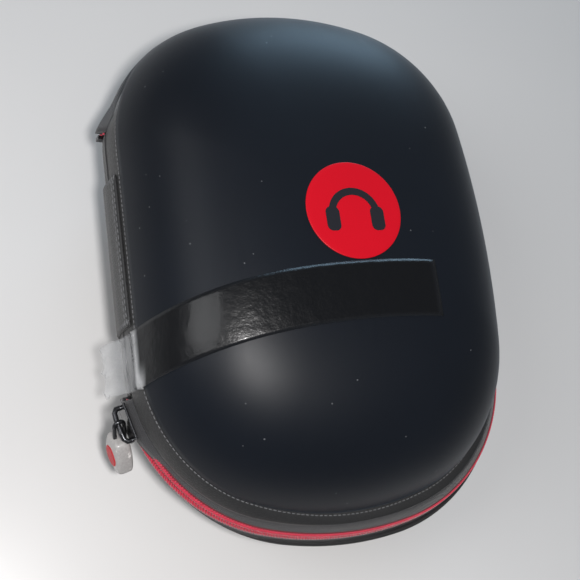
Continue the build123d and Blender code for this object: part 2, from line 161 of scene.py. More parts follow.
class Outline:
    """Plan outline of tangent arcs, with one straight side at the hinge."""

    def __init__(self, end_inset=0.0, side_inset=0.0, hinge_inset=0.0):
        half_length = ZIP_HALF_LENGTH - end_inset
        half_width = ZIP_HALF_WIDTH - (side_inset + hinge_inset) / 2
        self.middle = (hinge_inset - side_inset) / 2
        end_r, side_r = END_RADIUS - end_inset, SIDE_RADIUS - end_inset
        corner_r = CORNER_RADIUS - end_inset
        left = self.middle - half_width
        end_y = end_r - half_length
        reach = end_r - corner_r
        self.corner_r = corner_r
        self.flat = sqrt(reach**2 - (half_width - corner_r) ** 2) - end_y
        hinge = (left + corner_r, -self.flat)
        end = (self.middle, end_y)
        side = (self.middle + half_width - side_r, 0.0)
        dx, dy = end[0] - side[0], end[1] - side[1]
        gap = hypot(dx, dy)
        along = (gap**2 + (side_r - corner_r) ** 2 - reach**2) / (2 * gap)
        off = sqrt((side_r - corner_r) ** 2 - along**2)
        front = (side[0] + (along * dx + off * dy) / gap,
                 side[1] + (along * dy - off * dx) / gap)

        def heading(a, b):
            return atan2(b[1] - a[1], b[0] - a[0]) % (2 * pi)

        first, second = heading(end, hinge), heading(end, front)
        third = heading(side, front)
        lower = [(hinge, corner_r, pi, first), (end, end_r, first, second),
                 (front, corner_r, second, third)]
        self.arcs = lower + [(side, side_r, third - 2 * pi, 2 * pi - third)] + [
            ((c[0], -c[1]), r, 2 * pi - b, 2 * pi - a) for c, r, a, b in reversed(lower)]

    def stations(self, gap=None, step=2.0 * MM, shares=None):
        """Centre, radius and direction at points round the outline, starting at the
        hinge. A gap in degrees leaves the hinge open; None closes the ring."""
        found = []
        for n, (centre, radius, start, finish) in enumerate(self.arcs):
            if gap is not None and n == 0:
                start = pi + radians(gap)
            if gap is not None and n == len(self.arcs) - 1:
                finish = pi - radians(gap)
            count = shares[n] if shares else max(2, round(radius * (finish - start) / step))
            for i in range(count):
                angle = start + (finish - start) * i / count
                found.append((centre[0], centre[1], radius, angle))
        last = self.arcs[-1]
        turn = pi if gap is None else pi - radians(gap)
        found.append((last[0][0], last[0][1], last[1], turn))
        if gap is None:
            count = shares[-1] if shares else round(2 * self.flat / step)
            for i in range(1, count):
                y = self.flat - 2 * self.flat * i / count
                found.append((last[0][0], y, self.corner_r, pi))
        return np.array(found)

    def hinge_run(self, gap, step=1.5 * MM):
        """The straight hinge side and a little of the corners at its ends."""
        x = self.arcs[0][0][0]
        turn = radians(gap)
        count = max(2, round(self.corner_r * turn / step))
        upper = [(x, self.flat, self.corner_r, pi - turn + turn * i / count)
                 for i in range(count)]
        across = round(2 * self.flat / step)
        middle = [(x, self.flat - 2 * self.flat * i / across, self.corner_r, pi)
                  for i in range(across)]
        lower = [(x, -self.flat, self.corner_r, pi + turn * i / count)
                 for i in range(count + 1)]
        return np.array(upper + middle + lower)


def gentle(share):
    """A share in 0..1 that starts and ends gently."""
    share = np.clip(share, 0, 1)
    return share**2 * (3 - 2 * share)


def eased(x, y):
    """Plan points with the far hinge corner drawn in a little under the lid."""
    share = gentle((y - 46 * MM) / (22 * MM)) * gentle(-x / (34 * MM))
    return x + FAR_CORNER_EASE[0] * share, y + FAR_CORNER_EASE[1] * share


ZIP_LINE = Outline()
LID_LINE = Outline(*LID_INSET)
BASE_LINE = Outline(*BASE_INSET)
PIPING_LINE = Outline(-1.4 * MM, -1.4 * MM, 4.0 * MM)
ROUND = [26, 22, 26, 40, 26, 22, 26, 30]     # points on each stretch of a ring


def ring_points(outline, offset=0.0):
    """Plan points right round an outline, matched one to one between outlines."""
    s = outline.stations(shares=ROUND)
    return np.stack([s[:, 0] + (s[:, 2] + offset) * np.cos(s[:, 3]),
                     s[:, 1] + (s[:, 2] + offset) * np.sin(s[:, 3])], 1)


LID_RING = ring_points(LID_LINE) - [LID_LINE.middle, 0]
LID_ANGLES = np.arctan2(LID_RING[:, 1], LID_RING[:, 0])


def dome_spread(share):
    """How much of the full plan is left at a share of the dome's rise."""
    share = np.clip(share, 0, 1)
    return (1 - share**RISE_POWER) ** (1 / SPREAD_POWER)


def dome_height(x, y, rise=LID_RISE):
    """Height above the seam of a dome's outer face over a plan point."""
    dx, dy = np.asarray(x) - LID_LINE.middle, np.asarray(y)
    order = np.argsort(LID_ANGLES)
    edge = np.interp(np.arctan2(dy, dx), LID_ANGLES[order],
                     np.hypot(*LID_RING.T)[order], period=2 * pi)
    spread = np.clip(np.hypot(dx, dy) / edge, 0, 1)
    return rise * (1 - spread**SPREAD_POWER) ** (1 / RISE_POWER)


def edge_level(x, low, high):
    """Level of a shell's lower edge, which climbs towards the hinge."""
    share = (ZIP_HALF_WIDTH - np.minimum(x, ZIP_HALF_WIDTH)) / (2 * ZIP_HALF_WIDTH)
    return low + (high - low) * np.minimum(share, 1.06) ** 3


def lid_edge(x):
    return edge_level(x, 5.4 * MM, 16.0 * MM)


def base_edge(x):
    return edge_level(x, 8.6 * MM, 16.6 * MM)


def chain_face(level):
    """Offset of the tapes' outer face from the zip line."""
    return -0.1 * MM - CHAIN_LEAN * level


# ---------------------------------------------------------------- meshes

def add_object(name, mesh):
    piece = bpy.data.objects.new(name, mesh)
    bpy.context.scene.collection.objects.link(piece)
    return piece


def smoothed(mesh):
    mesh.polygons.foreach_set("use_smooth", [True] * len(mesh.polygons))
    return mesh


def new_piece(name, vertices, faces, uvs=None):
    """Mesh object at the origin with smooth faces and a UV map in metres."""
    mesh = bpy.data.meshes.new(name)
    mesh.from_pydata([tuple(v) for v in vertices], [], faces)
    if uvs is not None:
        layer = mesh.uv_layers.new(name="Surface")
        layer.data.foreach_set("uv", np.array(uvs, np.float32).ravel())
    smoothed(mesh).update()
    return add_object(name, mesh)


def outwards(piece):
    """Turns a closed piece right side out."""
    body = bmesh.new()
    body.from_mesh(piece.data)
    if body.calc_volume(signed=True) < 0:
        piece.data.flip_normals()
    body.free()
    return piece


def welded(node_name, name):
    """Mesh of a frame node with its doubled points joined."""
    body = bmesh.new()
    body.from_mesh(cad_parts[node_name].data)
    bmesh.ops.remove_doubles(body, verts=body.verts, dist=1e-6)
    mesh = bpy.data.meshes.new(name)
    body.to_mesh(mesh)
    body.free()
    return mesh


def flattened(value, power):
    """A sine or cosine that squares up a circle as the power falls."""
    return np.sign(value) * abs(value) ** power


def grid_piece(name, rows, ring=False, tube=False, low_pole=None, high_pole=None,
               closed=True):
    """Piece from rows of points. A ring joins each row's ends, a tube joins the last
    row to the first, and a pole closes the first or last row to one point."""
    rows = np.asarray(rows, float)
    count, across = rows.shape[:2]
    points = rows.reshape(-1, 3)
    along = np.linalg.norm(np.diff(rows, axis=1, append=rows[:, :1]), axis=2)
    u = np.concatenate([[0], np.cumsum(along.mean(0))])
    up = np.linalg.norm(np.diff(rows, axis=0, append=rows[:1]), axis=2)
    v = np.concatenate([[0], np.cumsum(up.mean(1))])
    faces, uvs = [], []
    for i in range(count if tube else count - 1):
        a, b = i * across, ((i + 1) % count) * across
        for j in range(across if ring else across - 1):
            k = (j + 1) % across
            faces.append((a + j, a + k, b + k, b + j))
            uvs += [(u[j], v[i]), (u[j + 1], v[i]), (u[j + 1], v[i + 1]), (u[j], v[i + 1])]
    vertices = [tuple(p) for p in points]
    for pole, row, turned in ((low_pole, 0, True), (high_pole, count - 1, False)):
        if pole is None:
            continue
        tip = len(vertices)
        vertices.append(tuple(pole))
        for j in range(across):
            k = (j + 1) % across
            a, b = row * across + j, row * across + k
            faces.append((b, a, tip) if turned else (a, b, tip))
            uvs += [(u[j], v[row])] * 3
    if tube and not ring:
        start = [i * across for i in range(count)]
        finish = [i * across + across - 1 for i in range(count)]
        faces += [tuple(start), tuple(reversed(finish))]
        uvs += [(u[0], v[i]) for i in range(count)]
        uvs += [(u[across - 1], v[i]) for i in reversed(range(count))]
    piece = new_piece(name, vertices, faces, uvs)
    return outwards(piece) if closed else piece


def place(stations, offset, level):
    """Points at an offset from the run and a level above the seam."""
    radius = stations[:, 2] + offset
    level = np.broadcast_to(level, radius.shape)
    x, y = eased(stations[:, 0] + radius * np.cos(stations[:, 3]),
                 stations[:, 1] + radius * np.sin(stations[:, 3]))
    return np.stack([x, y, SEAM + level], 1)


def swept(name, stations, section, ring=False):
    """Section of (offset, level) carried along a run."""
    rows = [place(stations, offset, level) for offset, level in section]
    return grid_piece(name, rows, ring=ring, tube=True)


def rounded(section, radius, steps=3):
    """The section with its corners rounded."""
    points = np.array(section, float)
    found = []
    for i, p in enumerate(points):
        a, b = points[i - 1] - p, points[(i + 1) % len(points)] - p
        la, lb = np.linalg.norm(a), np.linalg.norm(b)
        cut = min(radius, 0.42 * la, 0.42 * lb)
        start, finish = p + a / la * cut, p + b / lb * cut
        for k in range(steps + 1):
            t = k / steps
            found.append((1 - t) ** 2 * start + 2 * t * (1 - t) * p + t**2 * finish)
    return found


def recoat(piece, finish):
    piece.data.materials.clear()
    piece.data.materials.append(material(finish))


def finish_piece(piece, body, slot_name, finish, *nodes):
    """Gives a piece its material and its body, and hides the frame nodes it stands for."""
    recoat(piece, finish)
    if body:
        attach(piece, body)
    if nodes:
        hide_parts(*nodes)
    return piece


# ---------------------------------------------------------------- node trees

FLOAT, INTEGER, VECTOR = "NodeSocketFloat", "NodeSocketInt", "NodeSocketVector"
GEOMETRY, MATERIAL = "NodeSocketGeometry", "NodeSocketMaterial"


def new_group(name, kind, inputs, outputs):
    """A new node group with its sockets, and its input and output nodes."""
    tree = bpy.data.node_groups.new(name, kind)
    for label, socket_type, value in inputs:
        socket = tree.interface.new_socket(
            name=label, in_out="INPUT", socket_type=socket_type)
        if value is not None:
            socket.default_value = value
    for label, socket_type in outputs:
        tree.interface.new_socket(name=label, in_out="OUTPUT", socket_type=socket_type)
    return tree, tree.nodes.new("NodeGroupInput"), tree.nodes.new("NodeGroupOutput")


def geometry_tree(name, inputs, output, nodes, links):
    """Geometry node group, made once. Each node is a kind with its settings, and each
    link is a line that reads node.socket > node.socket."""
    if name in bpy.data.node_groups:
        return bpy.data.node_groups[name]
    tree, start, end = new_group(name, "GeometryNodeTree", inputs, [(output, GEOMETRY)])
    tree.is_modifier = True
    made = {"in": start, "out": end}
    for label, kind, settings in nodes:
        node = made[label] = tree.nodes.new(kind)
        for key, value in settings.items():
            if isinstance(key, str) and hasattr(node, key):
                setattr(node, key, value)
            else:
                node.inputs[key].default_value = value
    for line in links.strip().splitlines():
        (a, leaves), (b, enters) = (side.strip().split(".") for side in line.split(">"))
        leaves, enters = (int(s) if s.isdigit() else s for s in (leaves, enters))
        tree.links.new(made[a].outputs[leaves], made[b].inputs[enters])
    return tree


def run_tree():
    """Geometry nodes that set copies of one piece along a run, square to its outward
    direction and slanted by the same angle."""
    return geometry_tree("Pieces along a run", [
        ("Run", GEOMETRY, None), ("Piece", "NodeSocketObject", None),
        ("Pitch", FLOAT, 0.002), ("Slant", FLOAT, 0.0), ("Unevenness", FLOAT, 0.05),
        ("Seed", INTEGER, 1), ("Material", MATERIAL, None)], "Pieces", [
        ("curve", "GeometryNodeMeshToCurve", {}),
        ("spaced", "GeometryNodeResampleCurve", {"mode": "LENGTH"}),
        ("set_on", "GeometryNodeInstanceOnPoints", {}),
        ("source", "GeometryNodeObjectInfo", {}),
        ("facing", "GeometryNodeInputNamedAttribute",
         {"data_type": "FLOAT_VECTOR", "Name": "outward"}),
        ("tangent", "GeometryNodeInputTangent", {}),
        ("stand", "FunctionNodeAlignRotationToVector", {"axis": "Z"}),
        ("along", "FunctionNodeAlignRotationToVector", {"axis": "X", "pivot_axis": "Z"}),
        ("angle", "FunctionNodeRandomValue", {"data_type": "FLOAT"}),
        ("spread", "ShaderNodeMath", {"operation": "MULTIPLY", 1: -1.0}),
        ("low", "ShaderNodeMath", {}), ("high", "ShaderNodeMath", {}),
        ("slant", "ShaderNodeCombineXYZ", {}),
        ("turn", "FunctionNodeRotateRotation", {"rotation_space": "LOCAL"}),
        ("euler", "FunctionNodeEulerToRotation", {}),
        ("whole", "GeometryNodeRealizeInstances", {}),
        ("paint", "GeometryNodeSetMaterial", {})], """
        in.Run > curve.Mesh
        curve.Curve > spaced.Curve
        in.Pitch > spaced.Length
        spaced.Curve > set_on.Points
        in.Piece > source.Object
        source.Geometry > set_on.Instance
        facing.Attribute > stand.Vector
        stand.Rotation > along.Rotation
        tangent.Tangent > along.Vector
        in.Unevenness > spread.0
        in.Slant > low.0
        spread.0 > low.1
        in.Slant > high.0
        in.Unevenness > high.1
        low.0 > angle.2
        high.0 > angle.3
        in.Seed > angle.Seed
        angle.1 > slant.Z
        slant.0 > euler.Euler
        along.Rotation > turn.Rotation
        euler.Rotation > turn.Rotate By
        turn.Rotation > set_on.Rotation
        set_on.Instances > whole.Geometry
        whole.Geometry > paint.Geometry
        in.Material > paint.Material
        paint.Geometry > out.Pieces""")


def thread_tree():
    """Geometry nodes that put a thread of one radius round every edge of a net."""
    return geometry_tree("Thread on edges", [
        ("Edges", GEOMETRY, None), ("Radius", FLOAT, 0.0003), ("Sides", INTEGER, 4),
        ("Material", MATERIAL, None)], "Thread", [
        ("curve", "GeometryNodeMeshToCurve", {}),
        ("circle", "GeometryNodeCurvePrimitiveCircle", {}),
        ("tube", "GeometryNodeCurveToMesh", {"Fill Caps": True}),
        ("whole", "GeometryNodeRealizeInstances", {}),
        ("paint", "GeometryNodeSetMaterial", {})], """
        in.Edges > curve.Mesh
        in.Radius > circle.Radius
        in.Sides > circle.Resolution
        curve.Curve > tube.Curve
        circle.Curve > tube.Profile Curve
        tube.Mesh > whole.Geometry
        whole.Geometry > paint.Geometry
        in.Material > paint.Material
        paint.Geometry > out.Thread""")


def carrier(points, ring=False, edges=None):
    """Bare edges for a node tree to work on, in a line or as given."""
    if edges is None:
        last = len(points) - 1
        edges = [(i, i + 1) for i in range(last)] + ([(last, 0)] if ring else [])
    mesh = bpy.data.meshes.new("edges")
    mesh.from_pydata([tuple(p) for p in points], edges, [])
    return add_object("edges", mesh)


def shaped_mesh(piece):
    """The mesh that a piece's modifiers make, and none of the modifiers."""
    bpy.context.view_layer.update()
    shaped = piece.evaluated_get(bpy.context.evaluated_depsgraph_get())
    mesh = bpy.data.meshes.new_from_object(shaped)
    piece.modifiers.clear()
    return smoothed(mesh)


def apply_tree(source, tree, values, name):
    """Runs a geometry node tree on bare edges and keeps the result as a plain piece."""
    modifier = source.modifiers.new(tree.name, "NODES")
    modifier.node_group = tree
    for item in tree.interface.items_tree:
        if item.item_type == "SOCKET" and item.in_out == "INPUT" and item.name in values:
            modifier[item.identifier] = values[item.name]
    mesh = shaped_mesh(source)
    bpy.data.objects.remove(source)
    mesh.name = name
    return add_object(name, mesh)


def threaded(source, radius, sides, finish, name):
    """Round thread or rod along every edge of a carrier."""
    return apply_tree(source, thread_tree(), {
        "Radius": radius, "Sides": sides, "Material": material(finish)}, name)


def bead(name, length, width, height, sides=6, ends=5, power=1.0):
    """Small rounded bar lying along X, with its top along Z."""
    rows = []
    for i in range(1, ends):
        t = pi * i / ends
        x, r = -cos(t) * length / 2, sin(t) ** power
        rows.append([(x, cos(a) * r * width / 2, sin(a) * r * height / 2)
                     for a in (2 * pi * k / sides for k in range(sides))])
    return grid_piece(name, rows, ring=True, low_pole=(-length / 2, 0, 0),
                      high_pole=(length / 2, 0, 0))


def repeat_along(name, points, normals, shape, pitch, slant, uneven, finish, ring=False):
    """Copies of a small shape along a run, as one plain piece."""
    run = carrier(points, ring)
    facing = run.data.attributes.new("outward", "FLOAT_VECTOR", "POINT")
    facing.data.foreach_set("vector", np.asarray(normals, np.float32).ravel())
    piece = apply_tree(run, run_tree(), {
        "Piece": shape, "Pitch": pitch, "Slant": slant, "Unevenness": uneven,
        "Seed": sizes().seed, "Material": material(finish)}, name)
    bpy.data.objects.remove(shape)
    return piece


def stitch_row(name, points, normals, body, slot_name, slant=0.0, ring=False,
               length=None, pitch=None, width=0.45 * MM):
    """A row of thread stitches that lie half sunk in the leather."""
    length, pitch = length or sizes().stitch_length, pitch or sizes().stitch_pitch
    shape = bead("stitch", length, width, width, power=0.55)
    piece = repeat_along(name, points, normals, shape, pitch, slant, 0.04,
                         "Stitch Thread", ring)
    return finish_piece(piece, body, slot_name, "Stitch Thread")


# ---------------------------------------------------------------- materials

class Wiring:
    """Shader nodes made and joined in one tree, round one place socket."""

    def __init__(self, tree, place):
        self.tree, self.place = tree, place

    def put(self, socket, value):
        """A link if the value is a socket, or else a constant."""
        if isinstance(value, bpy.types.NodeSocket):
            self.tree.links.new(value, socket)
        elif value is not None:
            socket.default_value = value

    def node(self, kind, **values):
        node = self.tree.nodes.new(kind)
        for key, value in values.items():
            self.put(node.inputs[key.replace("_", " ")], value)
        return node

    def maths(self, operation, *values, clamp=False):
        node = self.tree.nodes.new("ShaderNodeMath")
        node.operation, node.use_clamp = operation, clamp
        for socket, value in zip(node.inputs, values):
            self.put(socket, value)
        return node.outputs[0]

    def noise(self, scale, detail=4.0, roughness=0.55, vector=None):
        return self.node("ShaderNodeTexNoise", Vector=vector or self.place, Scale=scale,
                         Detail=detail, Roughness=roughness).outputs["Fac"]

    def split(self, vector):
        """The three parts of a vector."""
        return self.node("ShaderNodeSeparateXYZ", Vector=vector).outputs


def shader_group(name, inputs, outputs, fill):
    """Shader node group of plain values, filled in once."""
    if name not in bpy.data.node_groups:
        tree, start, end = new_group(
            name, "ShaderNodeTree",
            [("Vector", VECTOR, None)] + [(label, FLOAT, value) for label, value in inputs],
            [(label, FLOAT) for label in outputs])
        wiring = Wiring(tree, start.outputs["Vector"])
        for socket, value in zip(end.inputs, fill(wiring, start.outputs)):
            wiring.put(socket, value)
    return bpy.data.node_groups[name]


def weave_group():
    """Over and under threads on a UV map in metres: height and shade."""
    def fill(g, given):
        parts = g.split(g.place)
        u = g.maths("DIVIDE", parts[0], given["Thread"])
        v = g.maths("DIVIDE", parts[1], given["Thread"])
        wave_u, wave_v = (g.maths("ABSOLUTE", g.maths("SINE", g.maths("MULTIPLY", w, pi)))
                          for w in (u, v))
        both = g.maths("ADD", g.maths("FLOOR", u), g.maths("FLOOR", v))
        over = g.maths("PINGPONG", both, 1.0)
        height = g.maths("ADD", g.maths("MULTIPLY", wave_u, over),
                         g.maths("MULTIPLY", wave_v, g.maths("SUBTRACT", 1.0, over)))
        loose = g.maths("MULTIPLY", g.noise(1400.0, 3.0), given["Unevenness"])
        total = g.maths("ADD", height, loose)
        return total, g.maths("MULTIPLY_ADD", total, 0.6, 0.25, clamp=True)

    return shader_group("Woven Threads", [("Thread", 0.0005), ("Unevenness", 0.3)],
                        ["Height", "Shade"], fill)


def grain_group():
    """Pebbled leather: cells with creases between them."""
    def fill(g, given):
        cells = g.node("ShaderNodeTexVoronoi")
        cells.feature = "DISTANCE_TO_EDGE"
        g.put(cells.inputs["Vector"], g.place)
        g.put(cells.inputs["Scale"], given["Scale"])
        ridge = g.maths("MINIMUM", g.maths("MULTIPLY", cells.outputs["Distance"], 4.0), 1.0)
        fine = g.noise(g.maths("MULTIPLY", given["Scale"], 2.5), 5.0)
        height = g.maths("ADD", g.maths("MULTIPLY", ridge, given["Crease"]),
                         g.maths("MULTIPLY", fine, 0.5))
        return height, g.maths("MULTIPLY_ADD", g.noise(60.0), 0.7,
                               g.maths("MULTIPLY", height, 0.35), clamp=True)

    return shader_group("Leather Grain", [("Scale", 900.0), ("Crease", 0.5)],
                        ["Height", "Shade"], fill)


def wear_group():
    """Handling marks and lint: a slow blotch, fine scuffs and sparse pale specks."""
    def fill(g, given):
        stretch = g.node("ShaderNodeMapping", Vector=g.place, Scale=(1.0, 0.12, 1.0),
                         Rotation=(0.3, 0.2, 0.7))
        scuff = g.noise(given["Scuff Scale"], 6.0, 0.65, stretch.outputs[0])
        fine = g.maths("MULTIPLY", g.maths("SUBTRACT", scuff, 0.6), 6.0, clamp=True)
        cells = g.node("ShaderNodeTexVoronoi", Vector=g.place, Scale=given["Speck Scale"])
        parts = g.node("ShaderNodeSeparateColor", Color=cells.outputs["Color"])
        chosen = g.maths("GREATER_THAN", parts.outputs[0], 0.93)
        near = g.maths("LESS_THAN", cells.outputs["Distance"], given["Speck Size"])
        return g.noise(14.0, 5.0), fine, g.maths("MULTIPLY", chosen, near)

    return shader_group("Handling And Lint", [
        ("Speck Scale", 220.0), ("Speck Size", 0.06), ("Scuff Scale", 90.0)],
        ["Blotch", "Scuff", "Speck"], fill)


class Finish(Wiring):
    """A material under construction, with its Principled shader and helpers."""

    def __init__(self, name):
        made = bpy.data.materials.new(name)
        made.use_nodes = True
        coordinates = made.node_tree.nodes.new("ShaderNodeTexCoord").outputs
        super().__init__(made.node_tree, coordinates["Object"])
        self.surface = coordinates["UV"]
        self.shader = self.tree.nodes["Principled BSDF"]

    def constants(self, **values):
        for key, value in values.items():
            self.shader.inputs[key.replace("_", " ")].default_value = value

    def group(self, tree, **values):
        """Outputs of a node group, given at the place unless told otherwise."""
        node = self.tree.nodes.new("ShaderNodeGroup")
        node.node_tree = tree
        for key, value in {"Vector": self.place, **values}.items():
            self.put(node.inputs[key.replace("_", " ")], value)
        return node.outputs

    def attribute(self, name):
        node = self.tree.nodes.new("ShaderNodeAttribute")
        node.attribute_name = name
        return node.outputs["Fac"]

    def blend(self, factor, low, high):
        """Colour between two, by a mask."""
        node = self.tree.nodes.new("ShaderNodeMix")
        node.data_type = "RGBA"
        self.put(node.inputs[0], factor)
        for socket, value in ((node.inputs[6], low), (node.inputs[7], high)):
            self.put(socket, (*value, 1) if isinstance(value, tuple) else value)
        return node.outputs[2]

    def shades(self, factor, colour, low, high):
        """Colour between a darker and a lighter shade of itself."""
        return self.blend(factor, shade_of(colour, low), shade_of(colour, high))

    def spread(self, value, low, high):
        """Value in 0..1 carried to low..high."""
        return self.node("ShaderNodeMapRange", Value=value, To_Min=low,
                         To_Max=high).outputs[0]

    def feed(self, colour, rough):
        self.put(self.shader.inputs["Base Color"], colour)
        self.put(self.shader.inputs["Roughness"], rough)

    def relief(self, height, distance, strength=1.0):
        bump = self.node("ShaderNodeBump", Distance=distance, Strength=strength,
                         Height=height)
        self.put(self.shader.inputs["Normal"], bump.outputs["Normal"])


def shade_of(colour, factor):
    return tuple(min(1.0, c * factor) for c in colour)


def shell_skin(m):
    m.constants(IOR=1.29, Sheen_Weight=0.02, Sheen_Roughness=0.35,
                Sheen_Tint=(0.55, 0.75, 1.0, 1))
    wear = m.group(wear_group(), Speck_Scale=330.0, Speck_Size=0.10)
    tone = m.shades(wear["Blotch"], colours().shell, 0.7, 1.35)
    grip = m.noise(5200.0, 3.0)
    m.feed(m.blend(m.maths("MULTIPLY", wear["Speck"], 0.35), tone, (0.20, 0.21, 0.22)),
           m.maths("SUBTRACT", m.maths("MULTIPLY_ADD", grip, 0.10, 0.38),
                   m.maths("MULTIPLY", wear["Scuff"], 0.06)))
    m.relief(grip, 0.00004, 0.6)


def leather(m):
    m.constants(IOR=1.5, Sheen_Weight=0.1, Sheen_Roughness=0.4)
    base = colours().leather
    grain = m.group(grain_group(), Scale=1000.0, Crease=0.5)
    scuff = m.maths("MULTIPLY", m.group(wear_group())["Scuff"], 0.3)
    m.feed(m.blend(scuff, m.shades(grain["Shade"], base, 0.6, 1.5), shade_of(base, 3.0)),
           m.spread(grain["Height"], 0.62, 0.42))
    m.relief(grain["Height"], 0.00010)


def piping_leather(m):
    """Smoother leather drawn into fine lines along the piping."""
    m.constants(IOR=1.5)
    line_pitch = 0.62 * MM
    lines = m.maths("SINE", m.maths("MULTIPLY", m.split(m.surface)[1], 2 * pi / line_pitch))
    grain = m.group(grain_group(), Scale=1300.0, Crease=0.3)
    height = m.maths("MULTIPLY_ADD", lines, 0.5, grain["Height"])
    m.feed(m.shades(m.spread(height, 0.1, 0.9), colours().leather, 0.5, 1.7),
           m.spread(height, 0.6, 0.42))
    m.relief(height, 0.00011)


def woven(m, colour, thread, rough=0.75, depth=0.00012, sheen=0.3):
    """Cloth woven from threads of one width."""
    m.constants(Sheen_Weight=sheen, Sheen_Roughness=0.5)
    weave = m.group(weave_group(), Vector=m.surface, Thread=thread, Unevenness=0.35)
    m.feed(m.shades(weave["Shade"], colour, 0.45, 1.6),
           m.spread(weave["Shade"], rough + 0.1, rough - 0.1))
    m.relief(weave["Height"], depth)


def plush(m):
    """Brushed cloth on the cradle, without a UV map."""
    m.constants(Sheen_Weight=0.6, Sheen_Roughness=0.4)
    base, nap = colours().lining, m.noise(2200.0, 6.0, 0.7)
    blotch = m.maths("MULTIPLY", m.group(wear_group())["Blotch"], 0.3)
    m.feed(m.blend(blotch, m.shades(nap, base, 0.5, 1.8), shade_of(base, 2.0)),
           m.spread(nap, 0.95, 0.8))
    m.relief(nap, 0.00025)


def strand(m, colour, scale=3000.0, rough=0.6, low=0.5, high=1.7):
    """Twisted thread: fine streaks over each stitch or tooth, and lighter patches from a
    coarser noise that are painted highlights.
    """
    m.constants(Sheen_Weight=0.3, Sheen_Roughness=0.4)
    fine = m.noise(scale, 4.0, 0.65)
    # Colour mixes the thread's own fine streaks with painted highlights from the coarser
    # noise.
    both = m.maths("MULTIPLY_ADD", m.noise(240.0, 2.0), 0.5,
                   m.maths("MULTIPLY", fine, 0.7), clamp=True)
    m.feed(m.shades(both, colour, low, high), m.spread(fine, rough + 0.12, rough - 0.12))
    m.relief(fine, 0.00008)


def printed(m, colour, rough):
    """Thin coloured print with a faint orange-peel surface."""
    m.constants(IOR=1.25, Coat_Weight=0.05, Coat_Roughness=0.3)
    peel = m.noise(1800.0, 3.0)
    wear = m.group(wear_group(), Speck_Scale=500.0, Speck_Size=0.05)
    m.feed(m.blend(m.maths("MULTIPLY", wear["Scuff"], 0.12),
                   m.shades(wear["Blotch"], colour, 0.85, 1.1), shade_of(colour, 1.5)),
           m.maths("MULTIPLY_ADD", peel, 0.14, rough))
    m.relief(peel, 0.00003, 0.5)


def slider_metal(m):
    m.constants(Metallic=0.9, IOR=1.5)
    scuff, grain = m.group(wear_group(), Scuff_Scale=700.0)["Scuff"], m.noise(2400.0)
    m.feed(m.blend(scuff, tuple(colours().metal), (0.42, 0.43, 0.45)),
           m.maths("MULTIPLY_ADD", grain, 0.2, 0.16))
    m.relief(grain, 0.00002, 0.5)


def tab_plastic(m):
    m.constants(IOR=1.5, Coat_Weight=0.3, Coat_Roughness=0.25)
    base, grain = colours().tab, m.noise(1600.0, 5.0)
    scuff = m.group(wear_group(), Scuff_Scale=500.0)["Scuff"]
    m.feed(m.blend(scuff, m.shades(grain, base, 0.7, 1.4), shade_of(base, 3.0)),
           m.spread(grain, 0.26, 0.44))
    m.relief(grain, 0.00005, 0.6)


def clear_film(m):
    """Glossy film: dark and close on the lid; creased where it hangs free, with a whitish
    painted glare there that is brighter on the creases.
    """
    m.constants(IOR=1.36, Coat_Weight=0.12, Coat_Roughness=0.08)
    free, crease, glint = m.attribute("free"), m.noise(130.0, 6.0, 0.6), m.noise(1500.0, 2.0)
    # Painted glare: whitish grey where the film hangs free, brighter along the creases.
    painted_glare = m.blend(crease, (0.28, 0.29, 0.30), (0.80, 0.81, 0.83))
    # Painted highlight: the rim mask lightens the film along its edges.
    dark = m.blend(m.attribute("rim"), tuple(colours().film), (0.006, 0.007, 0.009))
    m.feed(m.blend(free, dark, painted_glare), m.spread(glint, 0.22, 0.40))
    m.put(m.shader.inputs["Alpha"], m.maths(
        "MULTIPLY_ADD", m.maths("MULTIPLY", crease, free), 0.26,
        m.maths("MULTIPLY_ADD", free, -0.80, 0.90)))
    m.relief(m.maths("MULTIPLY_ADD", glint, 0.06, crease), 0.0010, 0.45)


def table_top(m):
    m.constants(IOR=1.45)
    m.feed(m.shades(m.noise(5.0), colours().table, 0.96, 1.04),
           m.maths("MULTIPLY_ADD", m.noise(300.0, 3.0), 0.06, 0.30))


FINISHES = {
    "Shell Skin": shell_skin,
    "Gusset Leather": leather,
    "Piping Leather": piping_leather,
    "Zip Tape Weave": lambda m: woven(m, colours().tape, 0.42 * MM),
    "Lining Cloth": lambda m: woven(m, colours().lining, 0.9 * MM, 0.85, 0.00016, 0.5),
    "Binding Weave": lambda m: woven(m, shade_of(colours().tape, 1.4), 0.8 * MM,
                                     depth=0.0002),
    "Brushed Cloth": plush,
    "Stitch Thread": lambda m: strand(m, colours().thread),
    "Chain Red": lambda m: strand(m, colours().chain, 2600.0, 0.5, 0.35, 1.9),
    "Chain Root": lambda m: strand(m, shade_of(colours().chain, 0.30), 2600.0, 0.7, 0.4, 1.5),
    "Net Thread": lambda m: strand(m, shade_of(colours().tape, 1.6), 2600.0, 0.55),
    "Emblem Red": lambda m: printed(m, colours().emblem, 0.36),
    "Emblem Ink": lambda m: printed(m, colours().ink, 0.42),
    "Slider Metal": slider_metal,
    "Tab Plastic": tab_plastic,
    "Clear Film": clear_film,
    "Table Top": table_top,
}


def material(name):
    """A material by name, made the first time it is asked for."""
    if name not in bpy.data.materials:
        FINISHES[name](Finish(name))
    return bpy.data.materials[name]


# ---------------------------------------------------------------- shells

